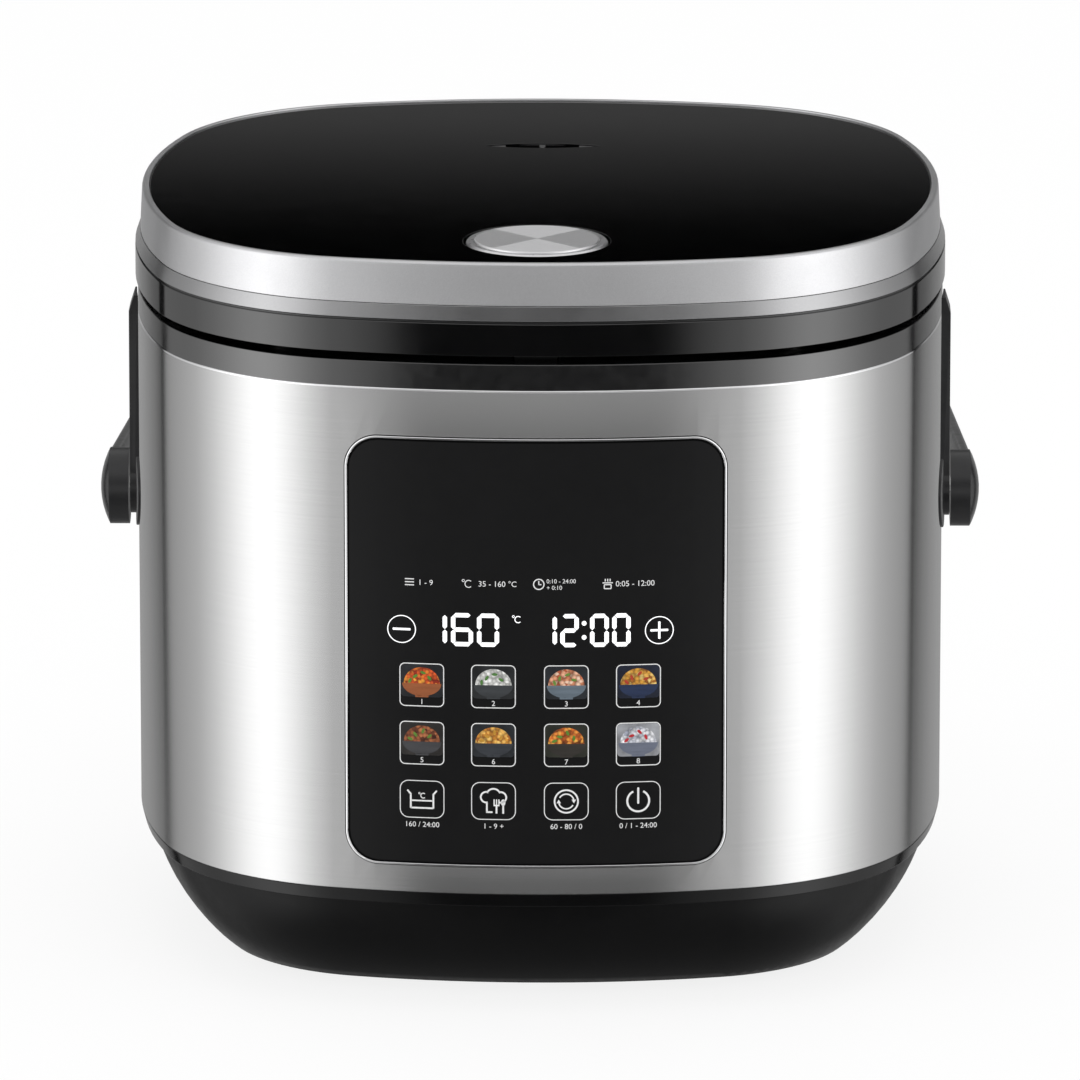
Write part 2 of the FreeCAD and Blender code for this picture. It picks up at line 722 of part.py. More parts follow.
def sensor_guide():
    floor, top = guide_floor(), JACKET_FLOOR_Z + JACKET_FLOOR_THICKNESS
    bore = SENSOR_STEM_RADIUS + RUNNING
    flange_low = JACKET_FLOOR_Z - GUIDE_WALL
    return turned([
        (bore, floor),
        (GUIDE_RADIUS, floor),
        (GUIDE_RADIUS, flange_low),
        (GUIDE_RADIUS + GUIDE_FLANGE, flange_low),
        (GUIDE_RADIUS + GUIDE_FLANGE, JACKET_FLOOR_Z),
        (GUIDE_RADIUS, JACKET_FLOOR_Z),
        (GUIDE_RADIUS, top),
        (GUIDE_RADIUS - GUIDE_WALL, top),
        (GUIDE_RADIUS - GUIDE_WALL, floor + GUIDE_WALL),
        (bore, floor + GUIDE_WALL),
    ])


def sensor_top():
    return Z_BOWL - LOOSE


def sensor_plunger():
    top = sensor_top()
    cap = disc(SENSOR_RADIUS, 0, 0, top - SENSOR_CAP, top)
    return cap.fuse(disc(SENSOR_STEM_RADIUS, 0, 0, top - SENSOR_STEM_LENGTH, top)).removeSplitter()


def sensor_spring():
    low, high = guide_floor() + GUIDE_WALL, sensor_top() - SENSOR_CAP
    return coil(SENSOR_SPRING_RADIUS, SPRING_WIRE, low + FIT, high - FIT, SENSOR_SPRING_TURNS)


# Front panel and boards

def touch_board_y():
    sag = TOUCH_BOARD_HALF_WIDTH ** 2 / (2 * FRONT_RADIUS)
    return -HALF_DEPTH + STEEL_THICKNESS + CARRIER_THICKNESS + sag + 2 * LOOSE


def control_panel():
    return front_slab(-PANEL_PROUD, STEEL_THICKNESS, -FRAME_WIDTH - FIT)


def panel_frame():
    ring = front_slab(-FRAME_PROUD, STEEL_THICKNESS, 0)
    return ring.cut(panel_tile(-FRAME_WIDTH, -2 * HALF_DEPTH, -HALF_DEPTH / 2))


def touch_board_span():
    return PANEL_BOTTOM + TOUCH_BOARD_MARGIN, PANEL_BOTTOM + PANEL_HEIGHT - TOUCH_BOARD_MARGIN


def panel_carrier():
    carrier = front_slab(STEEL_THICKNESS, STEEL_THICKNESS + CARRIER_THICKNESS, CARRIER_MARGIN)
    low, high = touch_board_span()
    front = -HALF_DEPTH + STEEL_THICKNESS + CARRIER_THICKNESS / 2
    inside = plan_prism(STEEL_THICKNESS + CARRIER_THICKNESS / 2, low, high)
    for x in (-TOUCH_BOARD_HALF_WIDTH + STANDOFF_MARGIN, TOUCH_BOARD_HALF_WIDTH - STANDOFF_MARGIN):
        for z in (low + STANDOFF_MARGIN, high - STANDOFF_MARGIN):
            post = Part.makeCylinder(STANDOFF_RADIUS, touch_board_y() - front, V(x, front, z), Y_AXIS)
            carrier = carrier.fuse(post.common(inside))
    return carrier.removeSplitter()


def touch_board():
    low, high = touch_board_span()
    y = touch_board_y()
    half = TOUCH_BOARD_HALF_WIDTH
    return box(-half, half, y, y + BOARD_THICKNESS, low, high)


def display_module():
    sag = DISPLAY_HALF_WIDTH ** 2 / (2 * FRONT_RADIUS)
    front = -HALF_DEPTH + STEEL_THICKNESS + CARRIER_THICKNESS + sag + LOOSE
    half = DISPLAY_HEIGHT / 2
    return box(-DISPLAY_HALF_WIDTH, DISPLAY_HALF_WIDTH, front, touch_board_y(),
               DISPLAY_CENTRE_Z - half, DISPLAY_CENTRE_Z + half)


def power_board():
    half = POWER_BOARD_WIDTH / 2
    front, back = POWER_BOARD_Y - POWER_BOARD_DEPTH / 2, POWER_BOARD_Y + POWER_BOARD_DEPTH / 2
    return box(-half, half, front, back, Z_BOARD, Z_BOARD + BOARD_THICKNESS)


def board_components():
    top = Z_BOARD + BOARD_THICKNESS
    quarter = POWER_BOARD_WIDTH / 4
    half = TRANSFORMER_SIZE / 2
    transformer = box(-quarter - half, -quarter + half, POWER_BOARD_Y - half, POWER_BOARD_Y + half,
                      top, top + TRANSFORMER_HEIGHT)
    half = RELAY_SIZE / 2
    front, back = POWER_BOARD_Y - half, POWER_BOARD_Y + half
    relay = box(quarter, quarter + RELAY_SIZE, front, back, top, top + RELAY_SIZE)
    capacitor = disc(CAPACITOR_RADIUS, quarter / 3, POWER_BOARD_Y, top, top + CAPACITOR_HEIGHT)
    return Part.makeCompound([transformer, relay, capacitor])


# Mains inlet

def inlet_back():
    return HALF_DEPTH + LOOSE + INLET_FLANGE_THICKNESS


def power_inlet():
    back = inlet_back()
    body = inlet_block(INLET_WALL, back - INLET_DEPTH - INLET_WALL, back)
    flange = inlet_block(INLET_WALL + INLET_FLANGE, HALF_DEPTH + LOOSE, back)
    socket = inlet_block(0, back - INLET_DEPTH, back)
    return body.fuse(flange).cut(socket).removeSplitter()


def inlet_pins():
    floor = inlet_back() - INLET_DEPTH
    pins = []
    half_width, half_height = INLET_PIN_WIDTH / 2, INLET_PIN_HEIGHT / 2
    outer, middle = INLET_CENTRE_Z - INLET_PIN_DROP, INLET_CENTRE_Z + INLET_PIN_DROP
    for x, centre in ((-INLET_PIN_PITCH, outer), (0, middle), (INLET_PIN_PITCH, outer)):
        pins.append(box(x - half_width, x + half_width, floor, floor + INLET_PIN_LENGTH,
                        centre - half_height, centre + half_height))
    return Part.makeCompound(pins)


# Hinge and condensate cup

def housing_top():
    return HINGE_Z - KNUCKLE_RADIUS - HOUSING_CLEARANCE


def housing_bottom():
    return housing_top() - HOUSING_HEIGHT


def housing_back():
    return HINGE_Y + KNUCKLE_RADIUS + RAIL_WALL


def cup_front():
    return HALF_DEPTH + 2 * LOOSE


def cup_top():
    return housing_bottom() - LOOSE


def hinge_housing():
    top, bottom, back = housing_top(), housing_bottom(), housing_back()
    half = HOUSING_HALF_WIDTH
    housing = box(-half, half, HALF_DEPTH / 2, back, bottom, top)
    behind = [edge for edge in housing.Edges if edge.CenterOfMass.y > HALF_DEPTH]
    housing = housing.makeFillet(HOUSING_CORNER, [edge for edge in behind if runs_along(edge, Z_AXIS)])
    behind = [edge for edge in housing.Edges if edge.CenterOfMass.y > HALF_DEPTH]
    housing = housing.makeFillet(HOUSING_ROUND, [edge for edge in behind if not runs_along(edge, Z_AXIS)])
    housing = housing.cut(plan_prism(0, bottom, top))
    lip_x = CUP_HALF_WIDTH + LOOSE
    rail_x = CUP_HALF_WIDTH + CUP_LIP + LOOSE
    lip_top = cup_top() - CUP_LIP_THICKNESS - LOOSE
    front, rear = cup_front(), cup_front() + CUP_DEPTH
    for side in (-1, 1):
        inner, outer = sorted((side * LUG_INNER_X, side * (LUG_INNER_X + LUG_WIDTH)))
        lug = box(inner, outer, HINGE_Y - KNUCKLE_RADIUS, HINGE_Y + KNUCKLE_RADIUS, bottom, HINGE_Z)
        lug = lug.fuse(rod(KNUCKLE_RADIUS, inner, outer, HINGE_Y, HINGE_Z))
        lug = lug.cut(rod(HINGE_PIN_RADIUS + FIT, inner, outer, HINGE_Y, HINGE_Z))
        near, far = sorted((side * rail_x, side * (rail_x + RAIL_WALL)))
        rail = box(near, far, front, rear, lip_top - RAIL_LIP, bottom)
        near, far = sorted((side * lip_x, side * (rail_x + RAIL_WALL)))
        rail = rail.fuse(box(near, far, front, rear, lip_top - RAIL_LIP, lip_top))
        housing = housing.fuse(lug).fuse(rail)
    return housing.removeSplitter()


def hinge_pin():
    end = LUG_INNER_X + LUG_WIDTH
    return rod(HINGE_PIN_RADIUS, -end, end, HINGE_Y, HINGE_Z)


def lid_spring_radius():
    return HINGE_PIN_RADIUS + SPRING_WIRE / 2 + LOOSE


def lid_spring():
    half = LID_SPRING_HALF_LENGTH
    spring = coil(lid_spring_radius(), SPRING_WIRE, -half, half, LID_SPRING_TURNS)
    spring.rotate(V(0, 0, 0), Y_AXIS, 90)
    spring.translate(V(0, HINGE_Y, HINGE_Z))
    return spring


def condensate_cup():
    front, back = cup_front(), cup_front() + CUP_DEPTH
    top = cup_top()
    bottom = top - CUP_HEIGHT
    half = CUP_HALF_WIDTH
    cup = box(-half, half, front, back, bottom, top)
    cup = cup.fuse(box(-half - CUP_LIP, half + CUP_LIP, front, back, top - CUP_LIP_THICKNESS, top))
    inside = half - CUP_WALL
    hollow = box(-inside, inside, front + CUP_WALL, back - CUP_WALL, bottom + CUP_WALL, top)
    return cup.cut(hollow).removeSplitter()


# Lid

def lid_shell():
    inner = LID_WALL - BAND_PROUD
    shell = swept((-BAND_PROUD, Z_BAND), [
        (-BAND_PROUD, Z_SHOULDER - GROOVE),
        (GROOVE - BAND_PROUD, Z_SHOULDER - GROOVE / 2),
        (GROOVE - BAND_PROUD, Z_SHOULDER),
        (-BAND_PROUD, Z_SHOULDER + GROOVE / 2),
        (SHOULDER_INSET, Z_SILVER),
        (inner, Z_SILVER),
        (inner, Z_LID_BASE),
        (LID_LIP_WIDTH, Z_LID_BASE),
        (LID_LIP_WIDTH, Z_BAND),
        (-BAND_PROUD, Z_BAND),
    ])
    half = LUG_INNER_X - LID_KNUCKLE_PLAY
    web_top = HINGE_Z + KNUCKLE_RADIUS
    web = box(-half, half, HALF_DEPTH / 2, HINGE_Y, Z_BAND, web_top)
    web = web.cut(plan_prism(inner / 2, Z_BAND, web_top))
    barrel = rod(KNUCKLE_RADIUS, -half, half, HINGE_Y, HINGE_Z)
    shell = shell.fuse(web.fuse(barrel))
    shell = shell.cut(rod(HINGE_PIN_RADIUS + RUNNING, -half, half, HINGE_Y, HINGE_Z))
    hollow = LID_SPRING_HALF_LENGTH + LOOSE
    spring_room = lid_spring_radius() + SPRING_WIRE / 2 + LOOSE
    shell = shell.cut(rod(spring_room, -hollow, hollow, HINGE_Y, HINGE_Z))
    return shell.cut(latch_slot(Z_BAND, Z_LID_BASE)).removeSplitter()


def lid_rim():
    wall = SILVER_INSET_HIGH + SILVER_WALL
    lip_z = Z_SILVER_TOP - SILVER_LIP
    part = SILVER_LIP * math.sqrt(0.5)
    lip_mid = (SILVER_INSET_HIGH + SILVER_LIP - part, lip_z + part)
    return swept((SILVER_INSET_LOW, Z_SILVER), [
        (SILVER_INSET_HIGH, lip_z),
        (lip_mid, (SILVER_INSET_HIGH + SILVER_LIP, Z_SILVER_TOP)),
        (wall, Z_SILVER_TOP),
        (wall, Z_PLATE),
        (wall + PLATE_LEDGE, Z_PLATE),
        (wall + PLATE_LEDGE, Z_PLATE - PLATE_THICKNESS),
        (wall, Z_PLATE - PLATE_THICKNESS),
        (wall, Z_SILVER),
        (SILVER_INSET_LOW, Z_SILVER),
    ])


def lid_post_points():
    cx, cy, radius = PLAN[1][:3]
    reach = (radius - LID_POST_INSET) * math.sqrt(0.5)
    return [(sx * (cx + reach), sy * (cy + reach)) for sx in (-1, 1) for sy in (-1, 1)]


def button_hole_radius():
    return BUTTON_RADIUS + BUTTON_GAP


def lid_top_plate():
    edge = PLATE_INSET + FIT
    plate = swept((edge, Z_PLATE), [
        (edge, Z_PLATE_TOP - PLATE_CHAMFER),
        (edge + PLATE_CHAMFER, Z_PLATE_TOP),
    ])
    for x, y in lid_post_points():
        plate = plate.fuse(tube(LID_POST_RADIUS, SCREW_RADIUS + FIT, x, y, Z_LID_BASE_TOP, Z_PLATE))
    plate = plate.cut(disc(button_hole_radius(), 0, BUTTON_Y, Z_PLATE, Z_PLATE_TOP))
    hole = lens(VALVE_HALF_LENGTH + LOOSE, VALVE_HALF_WIDTH + LOOSE, VALVE_Y, Z_PLATE, Z_PLATE_TOP)
    return plate.cut(hole).removeSplitter()


def lid_base():
    base = plan_prism(LID_WALL - BAND_PROUD + LOOSE, Z_LID_BASE, Z_LID_BASE_TOP)
    seat_radius = INNER_LID_RADIUS - INNER_LID_RING_INSET
    base = base.fuse(disc(BOSS_RADIUS, 0, 0, Z_INNER_LID_TOP, Z_LID_BASE))
    base = base.fuse(tube(seat_radius, seat_radius - LID_WALL, 0, 0, Z_INNER_LID_TOP, Z_LID_BASE))
    base = base.cut(disc(KNOB_STEM_RADIUS + FIT, 0, 0, Z_INNER_LID_TOP, Z_LID_BASE_TOP))
    base = base.cut(disc(VALVE_TUBE_RADIUS - VALVE_TUBE_WALL, 0, VALVE_Y, Z_LID_BASE, Z_LID_BASE_TOP))
    for x, y in lid_post_points():
        base = base.cut(disc(SCREW_RADIUS + LOOSE, x, y, Z_LID_BASE, Z_LID_BASE_TOP))
    return base.cut(latch_slot(Z_LID_BASE, Z_LID_BASE_TOP)).removeSplitter()


def lid_screws():
    length = LID_BASE_THICKNESS + LID_SCREW_BITE
    return Part.makeCompound([pan_screw(x, y, Z_LID_BASE, length) for x, y in lid_post_points()])


def inner_lid():
    low = Z_INNER_LID_TOP - INNER_LID_THICKNESS
    plate = disc(INNER_LID_RADIUS, 0, 0, low, Z_INNER_LID_TOP)
    plate = plate.cut(disc(KNOB_STEM_RADIUS + FIT, 0, 0, low, Z_INNER_LID_TOP))
    for x, y in ring_points(VENT_HOLE_CIRCLE, VENT_HOLE_COUNT):
        plate = plate.cut(disc(VENT_HOLE_RADIUS, x, y, low, Z_INNER_LID_TOP))
    return plate


def inner_lid_knob():
    under = Z_INNER_LID_TOP - INNER_LID_THICKNESS
    return turned([
        (0, under - KNOB_HEIGHT),
        (KNOB_RADIUS - KNOB_HEIGHT / 2, under - KNOB_HEIGHT),
        (KNOB_RADIUS, under - KNOB_HEIGHT / 2),
        (KNOB_RADIUS, under),
        (KNOB_STEM_RADIUS, under),
        (KNOB_STEM_RADIUS, Z_LID_BASE),
        (0, Z_LID_BASE),
    ])


def lid_gasket():
    inner = INNER_LID_RADIUS + FIT
    outer = inner + SEAL_WIDTH
    low = Z_FLANGE_TOP + LOOSE
    top = low + SEAL_HEIGHT
    mid = (inner + outer) / 2
    return turned([
        (inner, top),
        (outer, top - SEAL_WIDTH / 4),
        (outer, low + SEAL_HEIGHT / 3),
        (mid + SEAL_WIDTH / 5, low),
        (mid - SEAL_WIDTH / 5, low),
        (inner, low + SEAL_HEIGHT / 3),
    ])


def tray_floor():
    return Z_PLATE_TOP - VALVE_RECESS - VALVE_TRAY


def steam_duct():
    floor = tray_floor() - LOOSE
    bore = VALVE_TUBE_RADIUS + LOOSE
    wall_tip, play_tip = DUCT_WALL * LENS_TIP_RATIO, LOOSE * LENS_TIP_RATIO
    half_length, half_width = VALVE_HALF_LENGTH, VALVE_HALF_WIDTH
    outer = lens(half_length + wall_tip, half_width + DUCT_WALL, VALVE_Y, floor - DUCT_WALL, Z_PLATE)
    inner = lens(half_length + play_tip, half_width + LOOSE, VALVE_Y, floor, Z_PLATE)
    duct = outer.cut(inner)
    duct = duct.fuse(disc(bore + DUCT_WALL, 0, VALVE_Y, Z_LID_BASE_TOP, floor))
    return duct.cut(disc(bore, 0, VALVE_Y, Z_LID_BASE_TOP, floor)).removeSplitter()


def steam_valve():
    floor, top = tray_floor(), Z_PLATE_TOP - VALVE_RECESS
    bore = VALVE_TUBE_RADIUS - VALVE_TUBE_WALL
    valve = lens(VALVE_HALF_LENGTH, VALVE_HALF_WIDTH, VALVE_Y, floor, top)
    valve = valve.fuse(disc(VALVE_TUBE_RADIUS, 0, VALVE_Y, floor - VALVE_TUBE_LENGTH, floor))
    valve = valve.cut(disc(bore, 0, VALVE_Y, floor - VALVE_TUBE_LENGTH, floor + VALVE_TRAY / 2))
    half, width = VALVE_SLOT_LENGTH / 2, VALVE_SLOT_WIDTH / 2
    y, depth = VALVE_Y - VALVE_SLOT_OFFSET, VALVE_TRAY / 2 + LOOSE
    for x in (-VALVE_SLOT_PITCH / 2, VALVE_SLOT_PITCH / 2):
        valve = valve.cut(box(x - half, x + half, y - width, y + width, top - depth, top))
    return valve.removeSplitter()


# Release button and latch

def well_floor():
    return Z_PLATE - WELL_DEPTH


def button_well():
    floor = well_floor()
    inner = button_hole_radius()
    outer = inner + WELL_WALL
    well = tube(outer, inner, 0, BUTTON_Y, floor, Z_PLATE)
    bottom = tube(outer, STEM_RADIUS + LOOSE, 0, BUTTON_Y, floor, floor + WELL_WALL)
    return well.fuse(bottom).removeSplitter()


def ramp_level():
    """Height at which the stem's slanted end meets the front of the stem."""
    return Z_LID_BASE_TOP + LOOSE + BUTTON_TRAVEL + LOOSE


def above_ramp(gap):
    """Space above a plane that rises at 45 degrees towards the back, lifted by gap."""
    y, z = BUTTON_Y - STEM_RADIUS, ramp_level() + gap
    reach = 4 * WELL_DEPTH
    low, high = V(-reach, y - reach, z - reach), V(-reach, y + reach, z + reach)
    corners = [low, high, V(-reach, low.y, high.z)]
    return Part.Face(Part.makePolygon(corners + corners[:1])).extrude(V(2 * reach, 0, 0))


def button_top():
    return Z_PLATE_TOP + BUTTON_PROUD


def button_cap():
    top = button_top() - BUTTON_FACE_THICKNESS / 2
    skirt = top - BUTTON_SKIRT
    cap = turned([
        (0, top - BUTTON_WALL),
        (BUTTON_RADIUS - BUTTON_WALL, top - BUTTON_WALL),
        (BUTTON_RADIUS - BUTTON_WALL, skirt),
        (BUTTON_RADIUS, skirt),
        (BUTTON_RADIUS, top - BUTTON_CHAMFER),
        (BUTTON_RADIUS - BUTTON_CHAMFER, top),
        (BUTTON_FACE_RADIUS + FIT, top),
        (BUTTON_FACE_RADIUS + FIT, top - BUTTON_FACE_THICKNESS / 2),
        (0, top - BUTTON_FACE_THICKNESS / 2),
    ], 0, BUTTON_Y)
    stem = disc(STEM_RADIUS, 0, BUTTON_Y, ramp_level() - WELL_DEPTH, top - BUTTON_WALL)
    return cap.fuse(stem.common(above_ramp(LOOSE))).removeSplitter()


def button_face():
    top = button_top()
    low = top - BUTTON_FACE_THICKNESS
    chamfer = BUTTON_FACE_THICKNESS / 3
    return turned([
        (0, low),
        (BUTTON_FACE_RADIUS, low),
        (BUTTON_FACE_RADIUS, top - chamfer),
        (BUTTON_FACE_RADIUS - chamfer, top),
        (0, top),
    ], 0, BUTTON_Y)


def button_spring():
    low = well_floor() + WELL_WALL
    high = button_top() - BUTTON_FACE_THICKNESS / 2 - BUTTON_WALL
    turns = BUTTON_SPRING_TURNS
    return coil(BUTTON_SPRING_RADIUS, SPRING_WIRE, low + FIT, high - FIT, turns, 0, BUTTON_Y)


def latch_slide():
    low = Z_LID_BASE_TOP + LOOSE
    front = -HALF_DEPTH + HOOK_INSET
    tail = BUTTON_Y + LATCH_TAIL
    half = LATCH_HALF_WIDTH
    slide = box(-half, half, front, tail, low, low + LATCH_THICKNESS)
    block_half = STEM_RADIUS + LOOSE
    block = box(-block_half, block_half, BUTTON_Y - STEM_RADIUS, tail, low, low + RAMP_HEIGHT)
    window = box(-block_half, block_half, BUTTON_Y - RAMP_SLOT, tail, low, low + RAMP_HEIGHT)
    slide = slide.fuse(block).cut(window.common(above_ramp(0)))
    hook_low = Z_DECK - HOOK_DEPTH
    leg = HOOK_HALF_WIDTH
    slide = slide.fuse(box(-leg, leg, front, front + HOOK_THICKNESS, hook_low, low + LATCH_THICKNESS))
    nose = box(-leg, leg, front - HOOK_NOSE, front, hook_low, hook_low + HOOK_NOSE_HEIGHT)
    return slide.fuse(nose).removeSplitter()


def latch_strike():
    top = Z_DECK - DECK_THICKNESS
    half = STRIKE_HALF_WIDTH
    sag = half ** 2 / (2 * (FRONT_RADIUS - RIM_WALL))
    front = -HALF_DEPTH + max(RIM_WALL, STEEL_THICKNESS + LOOSE + SKIRT_THICKNESS) + sag + FIT
    lip = -HALF_DEPTH + HOOK_INSET - HOOK_NOSE - SLOT_MARGIN
    strike = box(-half, half, front, lip, top - STRIKE_THICKNESS, top)
    leg = box(-half, half, front, front + STRIKE_THICKNESS / 2, top - STRIKE_DROP, top)
    return strike.fuse(leg).removeSplitter()


# Bail handle

def handle_lug():
    """Right-hand lug: rib under the rim, pad on the steel and neck of the pivot."""
    outside = HALF_WIDTH + LUG_PROUD
    half = LUG_STRIP_WIDTH / 2
    y0, y1 = PIVOT_Y - half, PIVOT_Y + half
    rib = box(HALF_WIDTH / 2, outside, y0, y1, LUG_STRIP_BOTTOM, LUG_STRIP_TOP)
    cut_x, cut_z = outside - LUG_CHAMFER_WIDTH, LUG_STRIP_TOP - LUG_CHAMFER_HEIGHT
    corner = [V(outside, y0, cut_z), V(outside, y0, LUG_STRIP_TOP), V(cut_x, y0, LUG_STRIP_TOP)]
    rib = rib.cut(Part.Face(Part.makePolygon(corner + corner[:1])).extrude(V(0, LUG_STRIP_WIDTH, 0)))
    pad = rod(PAD_RADIUS, HALF_WIDTH / 2, 2 * HALF_WIDTH, PIVOT_Y, PIVOT_Z)
    pad = pad.common(plan_prism(-PAD_THICKNESS, PIVOT_Z - PAD_RADIUS, PIVOT_Z + PAD_RADIUS))
    neck = rod(NECK_RADIUS, HALF_WIDTH / 2, HALF_WIDTH + NECK_PROUD, PIVOT_Y, PIVOT_Z)
    lug = rib.fuse(pad).fuse(neck)
    lug = lug.cut(plan_prism(0, PIVOT_Z - 2 * PAD_RADIUS, Z_DECK))
    bore = rod(HANDLE_PIN_RADIUS + FIT, HALF_WIDTH / 2, 2 * HALF_WIDTH, PIVOT_Y, PIVOT_Z)
    return lug.cut(bore).removeSplitter()


def hub_inner():
    return HALF_WIDTH + max(NECK_PROUD, LUG_PROUD) + LOOSE


def hub_outer():
    return HALF_WIDTH + ARM_PROUD + ARM_THICKNESS


def handle_pins():
    return both_sides(rod(HANDLE_PIN_RADIUS, HALF_WIDTH, hub_outer() - LOOSE, PIVOT_Y, PIVOT_Z))


def drooped(shape):
    """Turns a piece about the pivot from level to its rest against the stop."""
    shape.rotate(V(0, PIVOT_Y, PIVOT_Z), X_AXIS, -DROOP)
    return shape


def carry_handle():
    slope = math.tan(math.radians(ARM_CONVERGENCE))
    outside = GRIP_REACH + GRIP_THICKNESS
    arm_in, arm_out = HALF_WIDTH + ARM_PROUD, hub_outer()
    low = PIVOT_Z - HUB_RADIUS

    def corner(x, reach):
        return V(x - reach * slope, PIVOT_Y + reach, low)

    right = [corner(arm_in, 0), corner(arm_out, 0), corner(arm_out, outside)]
    left = [V(-point.x, point.y, point.z) for point in reversed(right)]
    inner_right, inner_left = corner(arm_in, GRIP_REACH), corner(arm_in, GRIP_REACH)
    inner_left.x = -inner_left.x
    outline = right + left + [inner_left, inner_right, right[0]]
    bail = Part.Face(Part.makePolygon(outline)).extrude(V(0, 0, 2 * HUB_RADIUS))

    def upright_at(reach):
        return [edge for edge in bail.Edges if runs_along(edge, Z_AXIS)
                and abs(edge.CenterOfMass.y - PIVOT_Y - reach) < FIT]

    bail = bail.makeFillet(GRIP_CORNER + GRIP_THICKNESS / 2, upright_at(outside))
    bail = bail.makeFillet(GRIP_CORNER, upright_at(GRIP_REACH))
    long_edges = [edge for edge in bail.Edges if not runs_along(edge, Z_AXIS)
                  and edge.CenterOfMass.y > PIVOT_Y + HUB_RADIUS]
    bail = bail.makeFillet(HANDLE_FILLET, long_edges)
    for x0, x1 in ((hub_inner(), hub_outer()), (-hub_outer(), -hub_inner())):
        bail = bail.fuse(rod(HUB_RADIUS, x0, x1, PIVOT_Y, PIVOT_Z))
    bail = bail.cut(rod(HANDLE_PIN_RADIUS + RUNNING, -hub_outer(), hub_outer(), PIVOT_Y, PIVOT_Z))
    return drooped(bail.removeSplitter())


def handle_caps():
    """Domed covers over the two pivots."""
    ball = (HUB_RADIUS ** 2 + CAP_BULGE ** 2) / (2 * CAP_BULGE)
    dome = Part.makeSphere(ball, V(hub_outer() + CAP_BULGE - ball, PIVOT_Y, PIVOT_Z))
    dome = dome.common(rod(HUB_RADIUS, hub_outer(), hub_outer() + 2 * CAP_BULGE, PIVOT_Y, PIVOT_Z))
    return both_sides(dome)


def all_pieces():
    right_lug = handle_lug()
    return {
        "base_shell": base_shell(),
        "bottom_cover": bottom_cover(),
        "rubber_feet": rubber_feet(),
        "base_screws": base_screws(),
        "lower_trim_ring": lower_trim_ring(),
        "steel_wrap": steel_wrap(),
        "rear_panel": rear_panel(),
        "body_rim": body_rim(),
        "cooking_bowl": cooking_bowl(),
        "inner_jacket": inner_jacket(),
        "heating_plate": heating_plate(),
        "sensor_guide": sensor_guide(),
        "sensor_plunger": sensor_plunger(),
        "sensor_spring": sensor_spring(),
        "control_panel": control_panel(),
        "panel_frame": panel_frame(),
        "panel_carrier": panel_carrier(),
        "touch_board": touch_board(),
        "display_module": display_module(),
        "power_board": power_board(),
        "board_components": board_components(),
        "power_inlet": power_inlet(),
        "inlet_pins": inlet_pins(),
        "hinge_housing": hinge_housing(),
        "hinge_pin": hinge_pin(),
        "lid_spring": lid_spring(),
        "condensate_cup": condensate_cup(),
        "lid_shell": lid_shell(),
        "lid_rim": lid_rim(),
        "lid_top_plate": lid_top_plate(),
        "lid_base": lid_base(),
        "lid_screws": lid_screws(),
        "inner_lid": inner_lid(),
        "inner_lid_knob": inner_lid_knob(),
        "lid_gasket": lid_gasket(),
        "steam_duct": steam_duct(),
        "steam_valve": steam_valve(),
        "button_well": button_well(),
        "button_cap": button_cap(),
        "button_face": button_face(),
        "button_spring": button_spring(),
        "latch_slide": latch_slide(),
        "latch_strike": latch_strike(),
        "handle_lug_right": right_lug,
        "handle_lug_left": right_lug.mirror(V(0, 0, 0), X_AXIS),
        "handle_pins": handle_pins(),
        "carry_handle": carry_handle(),
        "handle_caps": handle_caps(),
    }


def main():
    os.makedirs("parts", exist_ok=True)
    pieces = all_pieces()
    whole = Part.makeCompound(list(pieces.values())).optimalBoundingBox(False)
    shift = V(0, -(whole.YMin + whole.YMax) / 2, 0)
    for name, shape in pieces.items():
        placed = shape.copy()
        placed.translate(shift)
        placed.exportStep("parts/" + name + ".step")
    print("origin moved along Y by", round(shift.y, 4))


main()
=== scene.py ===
"""Looks of the hinged-lid multicooker: finishes, edges, panel graphics, studio and camera."""
import bpy
import json
import math
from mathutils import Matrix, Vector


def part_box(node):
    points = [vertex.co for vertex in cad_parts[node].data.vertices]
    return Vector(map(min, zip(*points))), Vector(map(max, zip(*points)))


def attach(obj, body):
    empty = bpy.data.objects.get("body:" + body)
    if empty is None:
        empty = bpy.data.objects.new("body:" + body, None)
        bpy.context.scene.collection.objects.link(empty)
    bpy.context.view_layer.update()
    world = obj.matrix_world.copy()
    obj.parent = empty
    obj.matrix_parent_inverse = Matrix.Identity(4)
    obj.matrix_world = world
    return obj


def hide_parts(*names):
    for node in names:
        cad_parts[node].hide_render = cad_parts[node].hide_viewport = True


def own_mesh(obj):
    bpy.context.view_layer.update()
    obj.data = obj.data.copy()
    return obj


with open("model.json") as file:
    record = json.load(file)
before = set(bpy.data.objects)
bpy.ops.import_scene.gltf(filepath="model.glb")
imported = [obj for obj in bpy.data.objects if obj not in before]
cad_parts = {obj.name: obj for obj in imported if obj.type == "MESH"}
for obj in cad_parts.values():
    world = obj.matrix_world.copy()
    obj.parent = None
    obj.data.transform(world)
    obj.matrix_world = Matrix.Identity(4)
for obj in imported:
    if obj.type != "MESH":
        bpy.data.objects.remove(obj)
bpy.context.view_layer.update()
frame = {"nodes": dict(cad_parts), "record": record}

MM = 0.001
SMOOTH_ANGLE = math.radians(30.0)
SHARP_ANGLE = math.radians(40.0)
STANDING = math.pi / 2

# Plan of the body: eight tangent arcs about the middle of the lower trim ring.
BODY_Y = (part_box("lower_trim_ring")[0][1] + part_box("lower_trim_ring")[1][1]) / 2
HALF_WIDTH = 136.6 * MM
HALF_DEPTH = 134.2 * MM
FRONT_RADIUS = 280.0 * MM
SIDE_RADIUS = 240.0 * MM
CORNER_RADIUS = 82.0 * MM

